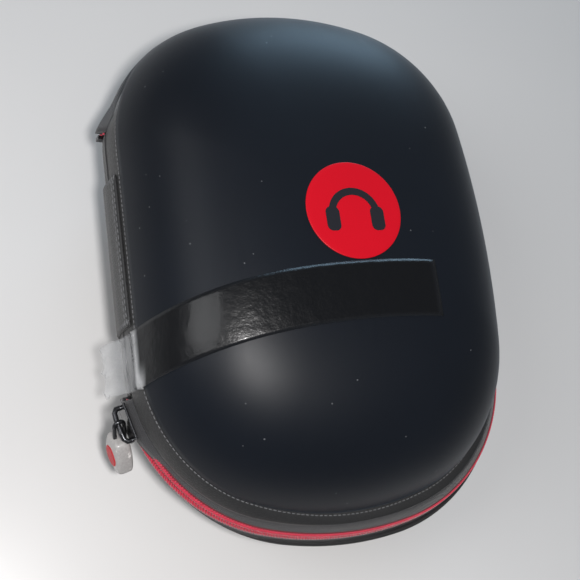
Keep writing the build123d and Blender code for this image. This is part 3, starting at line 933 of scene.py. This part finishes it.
def shell_rows(inset, rise, edge, turned, floor_cut=None, tuck=0.0, count=44):
    """Rows of points from a shell's edge to its crown, and the pole above them."""
    sign = -1 if turned else 1
    line = BASE_LINE if turned else LID_LINE
    plan = ring_points(line, -inset) - [line.middle, 0]
    high = rise - inset
    limit = min(1.0, floor_cut / high) if floor_cut else 1.0
    x = plan[:, 0] + line.middle
    low = np.clip((edge(x) + tuck) / high, 0, 0.98)
    start = np.arcsin(low ** (RISE_POWER / 2))
    finish = pi / 2 if limit >= 1 else np.arcsin(limit ** (RISE_POWER / 2))
    rows = []
    for i in range(count):
        t = start + (finish - start) * (i / count if limit >= 1 else i / (count - 1)) ** 0.92
        share = np.sin(t) ** (2 / RISE_POWER)
        spread = np.cos(t) ** (2 / SPREAD_POWER)
        rows.append(np.stack([plan[:, 0] * spread + line.middle,
                              plan[:, 1] * spread, SEAM + sign * high * share], 1))
    top = SEAM + sign * high * limit
    last = rows[-1]
    for share in ((0.72, 0.45, 0.2) if limit >= 1 else (0.97, 0.9, 0.7, 0.4, 0.15)):
        level = top - (top - last[:, 2]) * share ** 2
        rows.append(np.stack([(last[:, 0] - line.middle) * share + line.middle,
                              last[:, 1] * share, level], 1))
    return rows, (line.middle, 0, top)


def rolled_edge(outer, inner, radius, turned, steps=6):
    """Rows that roll from the outer face under the edge to the inner face."""
    sign = -1 if turned else 1
    middle, rows = (outer + inner) / 2, []
    for i in range(1, steps):
        a = pi * i / steps
        point = middle + (outer - middle) * cos(a)
        point[:, 2] -= sign * radius * sin(a)
        rows.append(point)
    return rows


def shell_piece(name, rise, edge, turned, wall, floor_cut=None):
    roll = sizes().edge_roll
    outer, top = shell_rows(0.0, rise, edge, turned, floor_cut, roll)
    cut = None if floor_cut is None else floor_cut - wall
    inner, under = shell_rows(wall, rise, edge, turned, cut, roll)
    rows = inner[::-1] + rolled_edge(outer[0], inner[0], roll, turned)[::-1] + outer
    return grid_piece(name, rows, ring=True, low_pole=under, high_pole=top)


def lining_piece(name, rise, turned, foot, floor_cut=None):
    outset, thick = 2.15 * MM, 1.5 * MM

    def level(x):
        return np.full_like(x, foot)

    def cut(inset):
        return None if floor_cut is None else floor_cut - inset

    outer, top = shell_rows(outset, rise, level, turned, cut(outset), 0.3 * MM, 26)
    inner, under = shell_rows(outset + thick, rise, level, turned, cut(outset + thick),
                              0.3 * MM, 26)
    rows = inner[::-1] + rolled_edge(outer[0], inner[0], 0.3 * MM, turned, 4)[::-1] + outer
    return grid_piece(name, rows, ring=True, low_pole=under, high_pole=top)


class CASE_OT_shells(bpy.types.Operator):
    """Build the moulded shells of the lid and the base"""

    bl_idname = "case.shells"
    bl_label = "Shells"

    def execute(self, context):
        lid = shell_piece("lid_soft_shell", LID_RISE, lid_edge, False, 2 * MM)
        finish_piece(lid, "lid", "shell_black", "Shell Skin", "lid_shell")
        base = shell_piece("base_soft_shell", BASE_DEPTH, base_edge, True, 2 * MM, SEAM)
        finish_piece(base, "base", "shell_black", "Shell Skin", "base_shell")
        return {"FINISHED"}


# ---------------------------------------------------------------- gussets

def gusset_lines(foot_inset, foot, rise, edge, turned):
    """The gusset's foot and its upper edge under the shell's roll."""
    sign = -1 if turned else 1
    line = BASE_LINE if turned else LID_LINE
    foot_line = Outline(foot_inset, foot_inset, (4.2 if turned else 0.4) * MM)
    lower = np.stack(eased(*ring_points(foot_line).T), 1)
    plan = ring_points(line) - [line.middle, 0]
    level = edge(plan[:, 0] + line.middle) + 0.35 * MM
    spread = dome_spread(level / rise)
    tucked = 1 - 1.0 * MM / np.hypot(*plan.T)
    upper = plan * (spread * tucked)[:, None] + [line.middle, 0]
    low = np.column_stack([lower, np.full(len(lower), SEAM + sign * foot)])
    high = np.column_stack([upper, SEAM + sign * level])
    return low, high


def surface_normals(low, high, turned):
    """Outward direction across the band between two lines."""
    along = np.roll(low, -1, 0) - np.roll(low, 1, 0)
    across = high - low
    normal = np.cross(along, across)
    normal /= np.linalg.norm(normal, axis=1)[:, None]
    return -normal if turned else normal


def gusset_piece(name, foot_inset, foot, rise, edge, turned, bulge=0.45 * MM, thick=0.9 * MM):
    low, high = gusset_lines(foot_inset, foot, rise, edge, turned)
    normal = surface_normals(low, high, turned)
    outer, inner = [], []
    for t in (i / 9 for i in range(10)):
        middle = low + (high - low) * t
        outer.append(middle + normal * bulge * sin(pi * t) ** 0.7)
        inner.append(middle - normal * thick)
    return grid_piece(name, outer + inner[::-1], ring=True, tube=True), low, high, normal


def band_line(low, high, normal, drop, rise=0.42 * MM):
    """Points on a gusset at a distance from its upper edge."""
    t = np.clip(1 - drop / np.linalg.norm(high - low, axis=1), 0.25, 0.95)
    bulge = rise * np.sin(pi * t) ** 0.7
    return low + (high - low) * t[:, None] + normal * bulge[:, None]


class CASE_OT_gussets(bpy.types.Operator):
    """Build the leather gussets with their stitching"""

    bl_idname = "case.gussets"
    bl_label = "Gussets"

    def execute(self, context):
        for body, inset, foot, rise, edge, turned in (
                ("lid", 3.0 * MM, LID_FOOT, LID_RISE, lid_edge, False),
                ("base", -0.9 * MM, BASE_FOOT, BASE_DEPTH, base_edge, True)):
            piece, low, high, normal = gusset_piece(
                body + "_leather_gusset", inset, foot, rise, edge, turned)
            finish_piece(piece, body, "gusset_leather", "Gusset Leather", body + "_gusset")
            row = band_line(low, high, normal, 1.75 * MM)
            stitch_row(body + "_gusset_stitches", row, normal, body, "gusset_leather",
                       ring=True)
        return {"FINISHED"}


# ---------------------------------------------------------------- zip

def chain_half(body, sign):
    """Woven chain half: a dark root with slanted red teeth along it."""
    run = ZIP_LINE.stations(gap=PARK_GAP)
    near, far = 0.22 * MM, TAPE_FAR
    section = [(chain_face(sign * level) + out, sign * level)
               for level, out in ((near, 0.35 * MM), (far, 0.35 * MM), (far, 0), (near, 0))]
    root = swept(body + "_chain_root", run, rounded(section, 0.2 * MM, 2))
    finish_piece(root, body, "zip_chain_red", "Chain Root")
    middle = (near + far) / 2
    points = place(run, chain_face(sign * middle) + 0.55 * MM, sign * middle)
    normals = np.stack([np.cos(run[:, 3]), np.sin(run[:, 3]),
                        np.full(len(run), CHAIN_LEAN)], 1)
    shape = bead("tooth", 2.75 * MM, 0.86 * MM, 0.95 * MM, 7, 6, 0.6)
    angle = pi / 2 - sign * sizes().tooth_slant
    teeth = repeat_along(body + "_chain_teeth", points, normals, shape, sizes().tooth_pitch,
                         angle, 0.05, "Chain Red")
    finish_piece(teeth, body, "zip_chain_red", "Chain Red", body + "_zip_chain")


class CASE_OT_zip(bpy.types.Operator):
    """Build the zip's tapes, red teeth, end stops and the piping under them"""

    bl_idname = "case.zip"
    bl_label = "Zip"

    def execute(self, context):
        run = ZIP_LINE.stations(gap=PARK_GAP)
        near, far, thick = TAPE_NEAR, TAPE_FAR, TAPE_THICK
        x = run[:, 0] + run[:, 2] * np.cos(run[:, 3])
        y = run[:, 1] + run[:, 2] * np.sin(run[:, 3])
        # The upper tape overhangs the teeth towards both ends of the zip.
        lip = np.interp(y, [-74 * MM, -63 * MM], [0, 2.6 * MM]) * (x < -20 * MM)
        lip = np.maximum(lip * (y < 0), np.interp(y, [0, 40 * MM], [0, 3.4 * MM])
                         * np.interp(x, [-40 * MM, -5 * MM], [1, 0]))
        lid = [(chain_face(near) + lip, near), (chain_face(far) + lip, far),
               (-3.05 * MM, LID_FOOT + 0.2 * MM), (-3.9 * MM, LID_FOOT + 0.2 * MM),
               (chain_face(far) - thick, far), (chain_face(near) - thick, near)]
        finish_piece(swept("lid_woven_tape", run, lid), "lid",
                     "zip_tape", "Zip Tape Weave", "lid_zip_tape")
        end = TAPE_END
        foot = chain_face(end) + np.interp(x, [-74 * MM, -62 * MM, -40 * MM, 0],
                                           [-3.2 * MM, -1.4 * MM, 0.7 * MM, 1.4 * MM])
        base = [(chain_face(-near), -near), (chain_face(-far), -far), (foot, end),
                (foot - thick, end), (chain_face(-far) - thick, -far),
                (chain_face(-near) - thick, -near)]
        finish_piece(swept("base_woven_tape", run, base), "base",
                     "zip_tape", "Zip Tape Weave", "base_zip_tape")
        for body, sign in (("lid", 1), ("base", -1)):
            chain_half(body, sign)
        ring = PIPING_LINE.stations(step=2.2 * MM)
        centre = chain_face(end) - thick / 2
        piping = [(centre + 1.3 * MM * cos(a), -6.7 * MM + 1.3 * MM * sin(a))
                  for a in (2 * pi * k / 16 for k in range(16))]
        finish_piece(swept("base_piping", ring, piping, ring=True), "base", "gusset_leather",
                     "Piping Leather", "base_edge_piping")
        recoat(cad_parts["zip_end_stops"], "Slider Metal")
        return {"FINISHED"}


# ---------------------------------------------------------------- hinge

def band_between(name, run_y, profile, thick, edge_round=0.35 * MM):
    """Strap of one thickness: a profile of (x, level) carried between two y values."""
    profile = np.array(profile, float)
    tangent = np.gradient(profile, axis=0)
    normal = np.stack([-tangent[:, 1], tangent[:, 0]], 1)
    normal /= np.linalg.norm(normal, axis=1)[:, None]
    if normal[:, 0].mean() > 0:
        normal = -normal
    outer = profile + normal * thick
    rows = []
    low, high = run_y
    ends = [(0.0, edge_round), (0.33 * edge_round, edge_round * 0.4), (0.77 * edge_round, 0.0)]
    ys = [(low + step, sink) for step, sink in ends]
    ys += [(y, 0.0) for y in np.arange(low + 1.2 * MM, high - 1.2 * MM, 1.5 * MM)]
    ys += [(high - step, sink) for step, sink in reversed(ends)]
    for points, top in ((profile, False), (outer, True)):
        for k in range(len(points)):
            index = k if top else len(points) - 1 - k
            edge = min(index, len(points) - 1 - index)
            lift = 0.45 * thick if top and edge == 0 else 0.0
            row = []
            for y, sink in ys:
                p = points[index]
                if top:
                    p = p - normal[index] * max(lift, sink)
                row.append((p[0], y, SEAM + p[1]))
            rows.append(row)
    return grid_piece(name, rows, tube=True), outer, normal


def resampled(points, step):
    """Polyline with even, close steps and softened corners."""
    points = np.array(points, float)
    lengths = np.concatenate([[0], np.cumsum(np.hypot(*np.diff(points, axis=0).T))])
    count = max(3, round(lengths[-1] / step))
    at = np.linspace(0, lengths[-1], count + 1)
    fine = np.stack([np.interp(at, lengths, points[:, k]) for k in range(2)], 1)
    for _ in range(2):
        fine[1:-1] = (fine[:-2] + 2 * fine[1:-1] + fine[2:]) / 4
    return fine


class CASE_OT_hinge(bpy.types.Operator):
    """Build the leather hinge: a folded wall and the stitched patch over it"""

    bl_idname = "case.hinge"
    bl_label = "Hinge"

    def execute(self, context):
        run = ZIP_LINE.hinge_run(7.0)
        levels = np.linspace(-5.5 * MM, LID_FOOT + 0.1 * MM, 14)
        lean = np.clip(-levels / (5.5 * MM), 0, 1) * 2.8 * MM
        outer = [(-0.12 * MM - d, z) for d, z in zip(lean, levels)]
        inner = [(-1.5 * MM - d, z) for d, z in zip(lean[::-1], levels[::-1])]
        wall = swept("hinge_fold", run, outer + inner)
        finish_piece(wall, None, "gusset_leather", "Gusset Leather",
                     "hinge_wall_base", "hinge_wall_lid")
        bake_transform(wall)

        low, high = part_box("hinge_patch_base"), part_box("hinge_patch_lid")
        thick = 1.0 * MM
        piping = ZIP_LEFT + 2.0 * MM
        line = resampled([
            (low[1].x - 0.1 * MM, -13.4 * MM), (piping, -7.8 * MM), (piping, -5.9 * MM),
            (ZIP_LEFT - 0.05 * MM, -0.2 * MM), (ZIP_LEFT - 0.05 * MM, LID_FOOT),
            (high[1].x - 0.05 * MM, 13.4 * MM)], 0.9 * MM)
        patch, outer, normal = band_between(
            "hinge_patch", (low[0].y, low[1].y), line, thick)
        finish_piece(patch, None, "gusset_leather", "Gusset Leather",
                     "hinge_patch_base", "hinge_patch_lid")
        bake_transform(patch)
        self.stitch_patch(outer, normal, (low[0].y, low[1].y))
        return {"FINISHED"}

    def stitch_patch(self, outer, normal, ends):
        """Rows across the top and bottom, and slanted whipping at both ends."""
        def row(body, index, tag):
            y = np.arange(ends[0] + 1.6 * MM, ends[1] - 1.4 * MM, 1 * MM)
            points = [(outer[index][0], v, SEAM + outer[index][1]) for v in y]
            facing = [(normal[index][0], 0, normal[index][1])] * len(y)
            stitch_row(f"{body}_patch_stitches_{tag}", points, facing, body,
                       "gusset_leather", length=1.7 * MM, pitch=2.3 * MM)

        last = len(outer) - 1
        row("lid", last - 1, "upper")
        row("lid", last - 3, "lower")
        row("base", 1, "upper")
        row("base", 3, "lower")
        for body, keep in (("lid", outer[:, 1] > 5.5 * MM), ("base", outer[:, 1] < -8 * MM)):
            for tag, y in (("front", ends[0] + 1.1 * MM), ("back", ends[1] - 1.1 * MM)):
                points = [(p[0], y, SEAM + p[1]) for p in outer[keep]]
                facing = [(n[0], 0, n[1]) for n in normal[keep]]
                stitch_row(f"{body}_patch_whipping_{tag}", points, facing, body,
                           "gusset_leather", slant=radians(50), length=2.0 * MM,
                           pitch=1.5 * MM)


# ---------------------------------------------------------------- slider and pull

class CASE_OT_slider(bpy.types.Operator):
    """Finish the zip slider, its bridge, loop, moulded tab and badge"""

    bl_idname = "case.slider"
    bl_label = "Slider and Pull"

    def execute(self, context):
        recoat(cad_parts["slider_body"], "Slider Metal")
        reach = CORNER_RADIUS + 5.5 * MM
        corner = ZIP_LINE.arcs[0][0]
        hang = (Matrix.Translation((corner[0], corner[1], SEAM))
                @ Matrix.Rotation(SLIDER_TURN, 4, "Z") @ Matrix.Translation((reach, 0, 0)))
        tilt = hang @ Matrix.Rotation(PULL_TILT, 4, "X")
        half, back = 5.8 * MM, -2.9 * MM
        line = [(back, -half, 0), (back * 0.35, -half, 0), (-0.1 * MM, -half * 0.8, 0),
                (0.1 * MM, -half * 0.4, 0), (0.1 * MM, half * 0.4, 0),
                (-0.1 * MM, half * 0.8, 0), (back * 0.35, half, 0), (back, half, 0)]
        bridge = self.rod("slider_bail", line, hang, ROD_RADIUS, False)
        finish_piece(bridge, "zip_slider", "black_metal", "Slider Metal", "slider_bridge")
        r, top, low = 1.75 * MM, 0.4 * MM, -6.2 * MM
        line = [(r * cos(a), 0, top + r * sin(a)) for a in np.linspace(0, pi, 9)]
        line += [(-r, 0, top + (low - top) * k / 5) for k in range(1, 5)]
        line += [(-r * cos(a), 0, low - r * sin(a)) for a in np.linspace(0, pi, 9)]
        line += [(r, 0, low + (top - low) * k / 5) for k in range(1, 5)]
        loop = self.rod("pull_ring", line, tilt, RING_RADIUS, True)
        finish_piece(loop, "zip_pull", "black_metal", "Slider Metal", "pull_loop")
        finish_piece(self.tab(tilt), "zip_pull", "tab_grey", "Tab Plastic", "pull_tab")
        finish_piece(self.badge(tilt), "zip_pull", "emblem_red", "Emblem Red", "pull_badge")
        return {"FINISHED"}

    def rod(self, name, line, place_at, radius, ring):
        """Round metal rod bent along a line."""
        bent = carrier([place_at @ Vector(p) for p in line], ring)
        return threaded(bent, radius, 12, "Slider Metal", name)

    def tab(self, place_at):
        """Moulded tab: thick, narrow at the loop and broad at its foot."""
        rows = []
        for z, width, thick in TAB_SECTIONS:
            row = []
            for a in np.linspace(0, 2 * pi, 40, endpoint=False):
                x, y = thick * flattened(cos(a), 0.42), width * flattened(sin(a), 0.42)
                row.append(tuple(place_at @ Vector(((x + 0.5) * MM, y * MM, z * MM))))
            rows.append(row)
        return grid_piece("pull_moulding", rows, ring=True,
                          low_pole=place_at @ Vector((0.5 * MM, 0, -4.8 * MM)),
                          high_pole=place_at @ Vector((0.5 * MM, 0, -18.95 * MM)))

    def badge(self, place_at):
        """Plain round badge on the tab's outer face."""
        rows = []
        for share, out in ((1.0, 3.0), (1.0, 3.72), (0.96, 3.82), (0.85, 3.85), (0.4, 3.87)):
            rows.append([tuple(place_at @ Vector((out * MM, 3.9 * MM * share * cos(a),
                                                  -12.8 * MM + 3.9 * MM * share * sin(a))))
                         for a in np.linspace(0, 2 * pi, 40, endpoint=False)])
        return grid_piece("pull_medal", rows, ring=True,
                          low_pole=place_at @ Vector((3.0 * MM, 0, -12.8 * MM)),
                          high_pole=place_at @ Vector((3.87 * MM, 0, -12.8 * MM)))


# ---------------------------------------------------------------- emblem

class CASE_OT_emblem(bpy.types.Operator):
    """Build the round emblem and its plain headphone mark, draped on the crown"""

    bl_idname = "case.emblem"
    bl_label = "Emblem"

    def execute(self, context):
        low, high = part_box("lid_emblem")
        centre = (low + high) / 2
        radius = (high.x - low.x) / 2
        lift = 0.32 * MM
        rows = []
        for share, up in ((0.02, -0.6 * MM), (1.0, -0.6 * MM), (1.0, lift - 0.14 * MM),
                          (0.996, lift - 0.04 * MM), (0.985, lift), (0.9, lift), (0.75, lift),
                          (0.55, lift), (0.3, lift), (0.1, lift)):
            r = radius * share
            a = np.linspace(0, 2 * pi, 96, endpoint=False)
            x, y = centre.x + r * np.cos(a), centre.y + r * np.sin(a)
            rows.append(np.column_stack([x, y, SEAM + dome_height(x, y) + up]))
        top = SEAM + LID_RISE
        disc = grid_piece("emblem_disc", rows, ring=True,
                          low_pole=(centre.x, centre.y, top - 0.6 * MM),
                          high_pole=(centre.x, centre.y, top + lift))
        finish_piece(disc, "lid", "emblem_red", "Emblem Red", "lid_emblem")

        mesh = welded("emblem_mark", "emblem_headphones")
        levels = [v.co.z for v in mesh.vertices]
        lowest, highest = min(levels), max(levels)
        for v in mesh.vertices:
            share = (v.co.z - lowest) / (highest - lowest)
            v.co.z = top + lift - 0.12 * MM + share * 0.2 * MM
        mark = add_object("emblem_headphones", mesh)
        finish_piece(mark, "lid", "emblem_black", "Emblem Ink", "emblem_mark")
        return {"FINISHED"}


# ---------------------------------------------------------------- film

def arc_through(a, b, c, count):
    """Even points on the circle through three plan points."""
    (ax, ay), (bx, by), (cx, cy) = a, b, c
    d = 2 * (ax * (by - cy) + bx * (cy - ay) + cx * (ay - by))
    ux = ((ax**2 + ay**2) * (by - cy) + (bx**2 + by**2) * (cy - ay)
          + (cx**2 + cy**2) * (ay - by)) / d
    uy = ((ax**2 + ay**2) * (cx - bx) + (bx**2 + by**2) * (ax - cx)
          + (cx**2 + cy**2) * (bx - ax)) / d
    r = hypot(ax - ux, ay - uy)
    start, finish = atan2(ay - uy, ax - ux), atan2(cy - uy, cx - ux)
    if finish - start > pi:
        finish -= 2 * pi
    if start - finish > pi:
        finish += 2 * pi
    t = np.linspace(start, finish, count)
    return np.column_stack([ux + r * np.cos(t), uy + r * np.sin(t)])


class CASE_OT_film(bpy.types.Operator):
    """Lay the clear sealing film over the lid, with its loose tail past the hinge"""

    bl_idname = "case.film"
    bl_label = "Sealing Film"

    def execute(self, context):
        low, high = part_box("seal_film")
        width = FILM_WIDTH
        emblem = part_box("lid_emblem")
        top_y = -(emblem[1].y - emblem[0].y) / 2 - 0.6 * MM
        left = LID_RING[:, 0].min() + LID_LINE.middle
        far_x = left - 4 * MM
        fall = (10.8 - 2.0) / (68.5 - 26.9)
        far_y = top_y - 10.8 * MM - fall * (-68.5 * MM - far_x)
        upper = arc_through((high.x, top_y), (-26.9 * MM, top_y - 2 * MM), (far_x, far_y), 90)
        across = np.linspace(0, 1, 15)
        rows = []
        for x, y in upper:
            if x < left + 0.35 * MM:
                break
            ys = y - width * across
            z = dome_height(np.full_like(ys, x), ys)
            z = np.maximum(z, lid_edge(x) + 0.2 * MM)
            rows.append(np.column_stack([np.full_like(ys, x), ys, SEAM + z]))
        rows = np.array(self.drape_side(rows, across))
        piece = grid_piece("sealing_film", self.lift(rows), closed=False)
        self.mark(piece, rows)
        faces = piece.data.polygons
        if sum(p.normal.z for p in faces if p.center.z > SEAM + 0.03) < 0:
            piece.data.flip_normals()
        solid = piece.modifiers.new("Thickness", "SOLIDIFY")
        solid.thickness, solid.offset = FILM_THICK, 1.0
        finish_piece(piece, "lid", "clear_film", "Clear Film", "seal_film", "seal_film_tail")
        return {"FINISHED"}

    def drape_side(self, rows, across):
        """Carries the film down the lid's flank and out past the hinge as a tail."""
        y0 = np.array(rows[-1])[:, 1]
        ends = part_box("seal_film_tail")
        target = np.linspace(ends[1].y + 0.3 * MM, ends[0].y - 0.3 * MM, len(across))
        ring = LID_RING + [LID_LINE.middle, 0]
        hinge = ring[ring[:, 0] < 0]
        hinge = hinge[np.argsort(hinge[:, 1])]
        flank = np.interp(y0, hinge[:, 1], hinge[:, 0])
        start = np.array(rows[-1])[:, 2] - SEAM
        for share in np.linspace(0.2, 1.0, 6):
            level = start + (lid_edge(flank) + 0.4 * MM - start) * share
            x = LID_LINE.middle + (flank - LID_LINE.middle) * dome_spread(level / LID_RISE)
            y = y0 + (target - y0) * share * 0.25
            rows.append(np.column_stack([x, y, SEAM + level]))
        last = np.array(rows[-1])
        path = [(-0.1, 5.2), (-1.4, 0.4), (-3.6, -4.5), (-4.8, -8.0)]
        lean = [(last[:, 0] - 0.3 * MM, last[:, 2] - SEAM - 1.5 * MM)]
        lean += [(np.full(len(across), ZIP_LEFT + dx * MM), np.full(len(across), z * MM))
                 for dx, z in path]
        steps = 5
        for n in range(len(lean) - 1):
            for i in range(1, steps + 1):
                t = i / steps
                x = lean[n][0] * (1 - t) + lean[n + 1][0] * t
                z = lean[n][1] * (1 - t) + lean[n + 1][1] * t
                share = (n * steps + i) / (steps * (len(lean) - 1))
                y = last[:, 1] + (target - last[:, 1]) * min(1.0, share * 1.6)
                crumple = 0.55 * MM * share * np.sin(across * 17 + 9 * share)
                crumple += 0.35 * MM * share * np.sin(across * 41 - 23 * share)
                rows.append(np.column_stack([x + np.minimum(crumple, 0) * 1.4, y, SEAM + z]))
        return rows

    def lift(self, rows):
        """The rows moved a hair off the shell along the surface."""
        du = np.gradient(rows, axis=1)
        dv = np.gradient(rows, axis=0)
        normal = np.cross(du, dv)
        normal /= np.maximum(np.linalg.norm(normal, axis=2), 1e-12)[..., None]
        if normal[: len(rows) // 2, :, 2].mean() < 0:
            normal = -normal
        return rows + normal * FILM_LIFT

    def mark(self, piece, rows):
        """Marks where the film hangs free and where its rim catches light."""
        count, across = rows.shape[:2]
        free = np.clip((lid_edge(ZIP_LEFT) + SEAM + 2 * MM - rows[:, :, 2]) / (3 * MM), 0, 1)
        free *= (rows[:, :, 0] < -0.06)
        rim = np.zeros((count, across))
        rim[:, 0] = rim[:, -1] = 1.0
        rim[0, :] = rim[1, :] = 0.6
        for name, values in (("free", free), ("rim", rim)):
            layer = piece.data.attributes.new(name, "FLOAT", "POINT")
            layer.data.foreach_set("value", values.astype(np.float32).ravel())


# ---------------------------------------------------------------- inside

class CASE_OT_inside(bpy.types.Operator):
    """Build the linings, seam bindings and the moulded cradle"""

    bl_idname = "case.inside"
    bl_label = "Linings and Cradle"

    def execute(self, context):
        lid = lining_piece("lid_cloth_lining", LID_RISE, False, LID_FOOT)
        finish_piece(lid, "lid", "lining", "Lining Cloth", "lid_lining")
        base = lining_piece("base_cloth_lining", BASE_DEPTH, True, BASE_FOOT, SEAM)
        finish_piece(base, "base", "lining", "Lining Cloth", "base_lining")
        ring = ZIP_LINE.stations(step=2.4 * MM)
        for body, sign, foot in (("lid", 1, LID_FOOT), ("base", -1, BASE_FOOT)):
            lip, front, back = sign * 1.2 * MM, -4.6 * MM, -7.6 * MM
            section = rounded([(front, lip), (front, sign * foot), (back, sign * foot),
                               (back, lip)], 0.9 * MM)
            piece = swept(body + "_cloth_binding", ring, section, ring=True)
            finish_piece(piece, body, "binding", "Binding Weave", body + "_seam_binding")
            line = place(ring, -6.6 * MM, sign * 1.15 * MM)
            facing = np.tile([0, 0, -sign], (len(line), 1))
            stitch_row(body + "_binding_stitches", line, facing, body, "binding",
                       ring=True, length=2.2 * MM, pitch=3.2 * MM)
        self.cradle()
        return {"FINISHED"}

    def cradle(self):
        """Cradle with its edges softened under brushed cloth."""
        piece = add_object("headphone_bed", welded("headphone_cradle", "headphone_bed"))
        remesh = piece.modifiers.new("Even", "REMESH")
        remesh.mode, remesh.voxel_size = "VOXEL", 1.6 * MM
        soften = piece.modifiers.new("Soften", "SMOOTH")
        soften.factor, soften.iterations = 0.5, 14
        piece.data = shaped_mesh(piece)
        finish_piece(piece, "base", "lining", "Brushed Cloth", "headphone_cradle")


class CASE_OT_pocket(bpy.types.Operator):
    """Net the pocket in the lid and weave its elastic edge"""

    bl_idname = "case.pocket"
    bl_label = "Mesh Pocket"

    def execute(self, context):
        low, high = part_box("mesh_pocket")
        level = (low.z + high.z) / 2
        inset, middle = 4.6 * MM, LID_LINE.middle
        ring = ring_points(LID_LINE, -inset) - [middle, 0]
        ring = ring * float(dome_spread((level - SEAM) / (LID_RISE - inset)))
        order = np.argsort(np.arctan2(ring[:, 1], ring[:, 0]))
        angles, reach = np.arctan2(ring[:, 1], ring[:, 0])[order], np.hypot(*ring.T)[order]

        def inside(x, y):
            limit = np.interp(atan2(y, x - middle), angles, reach, period=2 * pi)
            return hypot(x - middle, y) < limit and y < high.y

        def share(value):
            return max(0.0, min(1.0, value))

        cell = sizes().net_cell
        points, index, edges = [], {}, []
        span = int(0.2 / cell)
        for i in range(-span, span):
            for j in range(-span, span):
                x = (i - j) * cell * 0.62 + middle
                y = (i + j) * cell * 0.5 - 0.03
                if inside(x, y):
                    index[i, j] = len(points)
                    sag = -2.0 * MM * max(0.0, 1 - ((x - middle) / 0.06) ** 2)
                    sag *= share((high.y - y) / 0.05) * share((y - low.y) / 0.03)
                    points.append((x, y, level + 0.8 * MM + sag))
        for (i, j), n in index.items():
            for other in ((i + 1, j), (i, j + 1)):
                if other in index:
                    edges.append((n, index[other]))
        net = threaded(carrier(points, edges=edges), sizes().net_thread, 4, "Net Thread",
                       "pocket_net")
        finish_piece(net, "lid", "mesh", "Net Thread", "mesh_pocket")

        low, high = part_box("pocket_elastic")
        xs = np.linspace(low.x, high.x, 90)
        half_y, half_z = (high.y - low.y) / 2, (high.z - low.z) / 2
        centre = (low + high) / 2
        rows = []
        for a in np.linspace(0, 2 * pi, 14, endpoint=False):
            y = centre.y + half_y * flattened(cos(a), 0.5)
            z = centre.z + half_z * flattened(sin(a), 0.5)
            ruffle = 0.25 * MM * np.sin(xs * 1600) * sin(a)
            rows.append(np.column_stack([xs, np.full_like(xs, y), z + ruffle]))
        band = grid_piece("pocket_band", rows, tube=True)
        finish_piece(band, "lid", "mesh", "Binding Weave", "pocket_elastic")
        return {"FINISHED"}


# ---------------------------------------------------------------- stage

class CASE_OT_stage(bpy.types.Operator):
    """Set the pale table, the soft lights and the camera"""

    bl_idname = "case.stage"
    bl_label = "Table, Lights and Camera"

    def execute(self, context):
        scene = context.scene
        reach = 3.0
        steps = np.linspace(-reach, reach, 13)
        rows = [[(x, y, 0.0) for x in steps] for y in steps]
        table = grid_piece("table", rows, closed=False)
        table.data.materials.append(material("Table Top"))
        for name, spot, size, power, tone, aim in LIGHTS:
            light = bpy.data.lights.new(name, "AREA")
            light.shape, light.size, light.energy, light.color = "DISK", size, power, tone
            lamp = add_object(name, light)
            lamp.location = spot
            view = Vector(aim) - Vector(spot)
            lamp.rotation_euler = view.to_track_quat("-Z", "Y").to_euler()
        world = bpy.data.worlds.new("Room")
        world.use_nodes = True
        sky = world.node_tree.nodes["Background"].inputs
        sky["Color"].default_value, sky["Strength"].default_value = (0.80, 0.81, 0.83, 1), 0.30
        scene.world = world
        scene.view_settings.view_transform = "Standard"
        camera = bpy.data.cameras.new("Camera")
        camera.sensor_width, camera.lens = 36.0, 36.0 * 1000 / 580
        camera.clip_start = 0.01
        eye = add_object("Camera", camera)
        turn = (Matrix.Rotation(0.0316, 3, "Z") @ Matrix.Rotation(0.37965, 3, "Y")
                @ Matrix.Rotation(-0.29978, 3, "X"))
        eye.matrix_world = (Matrix.Translation((-0.14775, -0.1149, 0.3748))
                            @ turn.transposed().to_4x4())
        scene.camera = eye
        return {"FINISHED"}


# ---------------------------------------------------------------- panel

STEPS = ("shells", "gussets", "zip", "hinge", "slider", "emblem", "film", "inside",
         "pocket", "stage")


class CASE_PT_panel(bpy.types.Panel):
    """Lists the case's settings and its pieces in build order"""

    bl_idname = "CASE_PT_panel"
    bl_label = "Headphone Case"
    bl_space_type = "VIEW_3D"
    bl_region_type = "UI"
    bl_category = "Case"

    def draw(self, context):
        layout = self.layout
        for settings in (context.scene.case_sizes, context.scene.case_colours):
            box = layout.box()
            for name in settings.__annotations__:
                box.prop(settings, name)
        for step in STEPS:
            layout.operator("case." + step)


CLASSES = (CaseSizes, CaseColours, CASE_OT_shells, CASE_OT_gussets, CASE_OT_zip,
           CASE_OT_hinge, CASE_OT_slider, CASE_OT_emblem, CASE_OT_film, CASE_OT_inside,
           CASE_OT_pocket, CASE_OT_stage, CASE_PT_panel)


def register():
    for cls in CLASSES:
        bpy.utils.register_class(cls)
    bpy.types.Scene.case_sizes = PointerProperty(type=CaseSizes)
    bpy.types.Scene.case_colours = PointerProperty(type=CaseColours)


def unregister():
    del bpy.types.Scene.case_colours
    del bpy.types.Scene.case_sizes
    for cls in reversed(CLASSES):
        bpy.utils.unregister_class(cls)


def main():
    register()
    for step in STEPS:
        getattr(bpy.ops.case, step)()


if __name__ == "__main__":
    main()
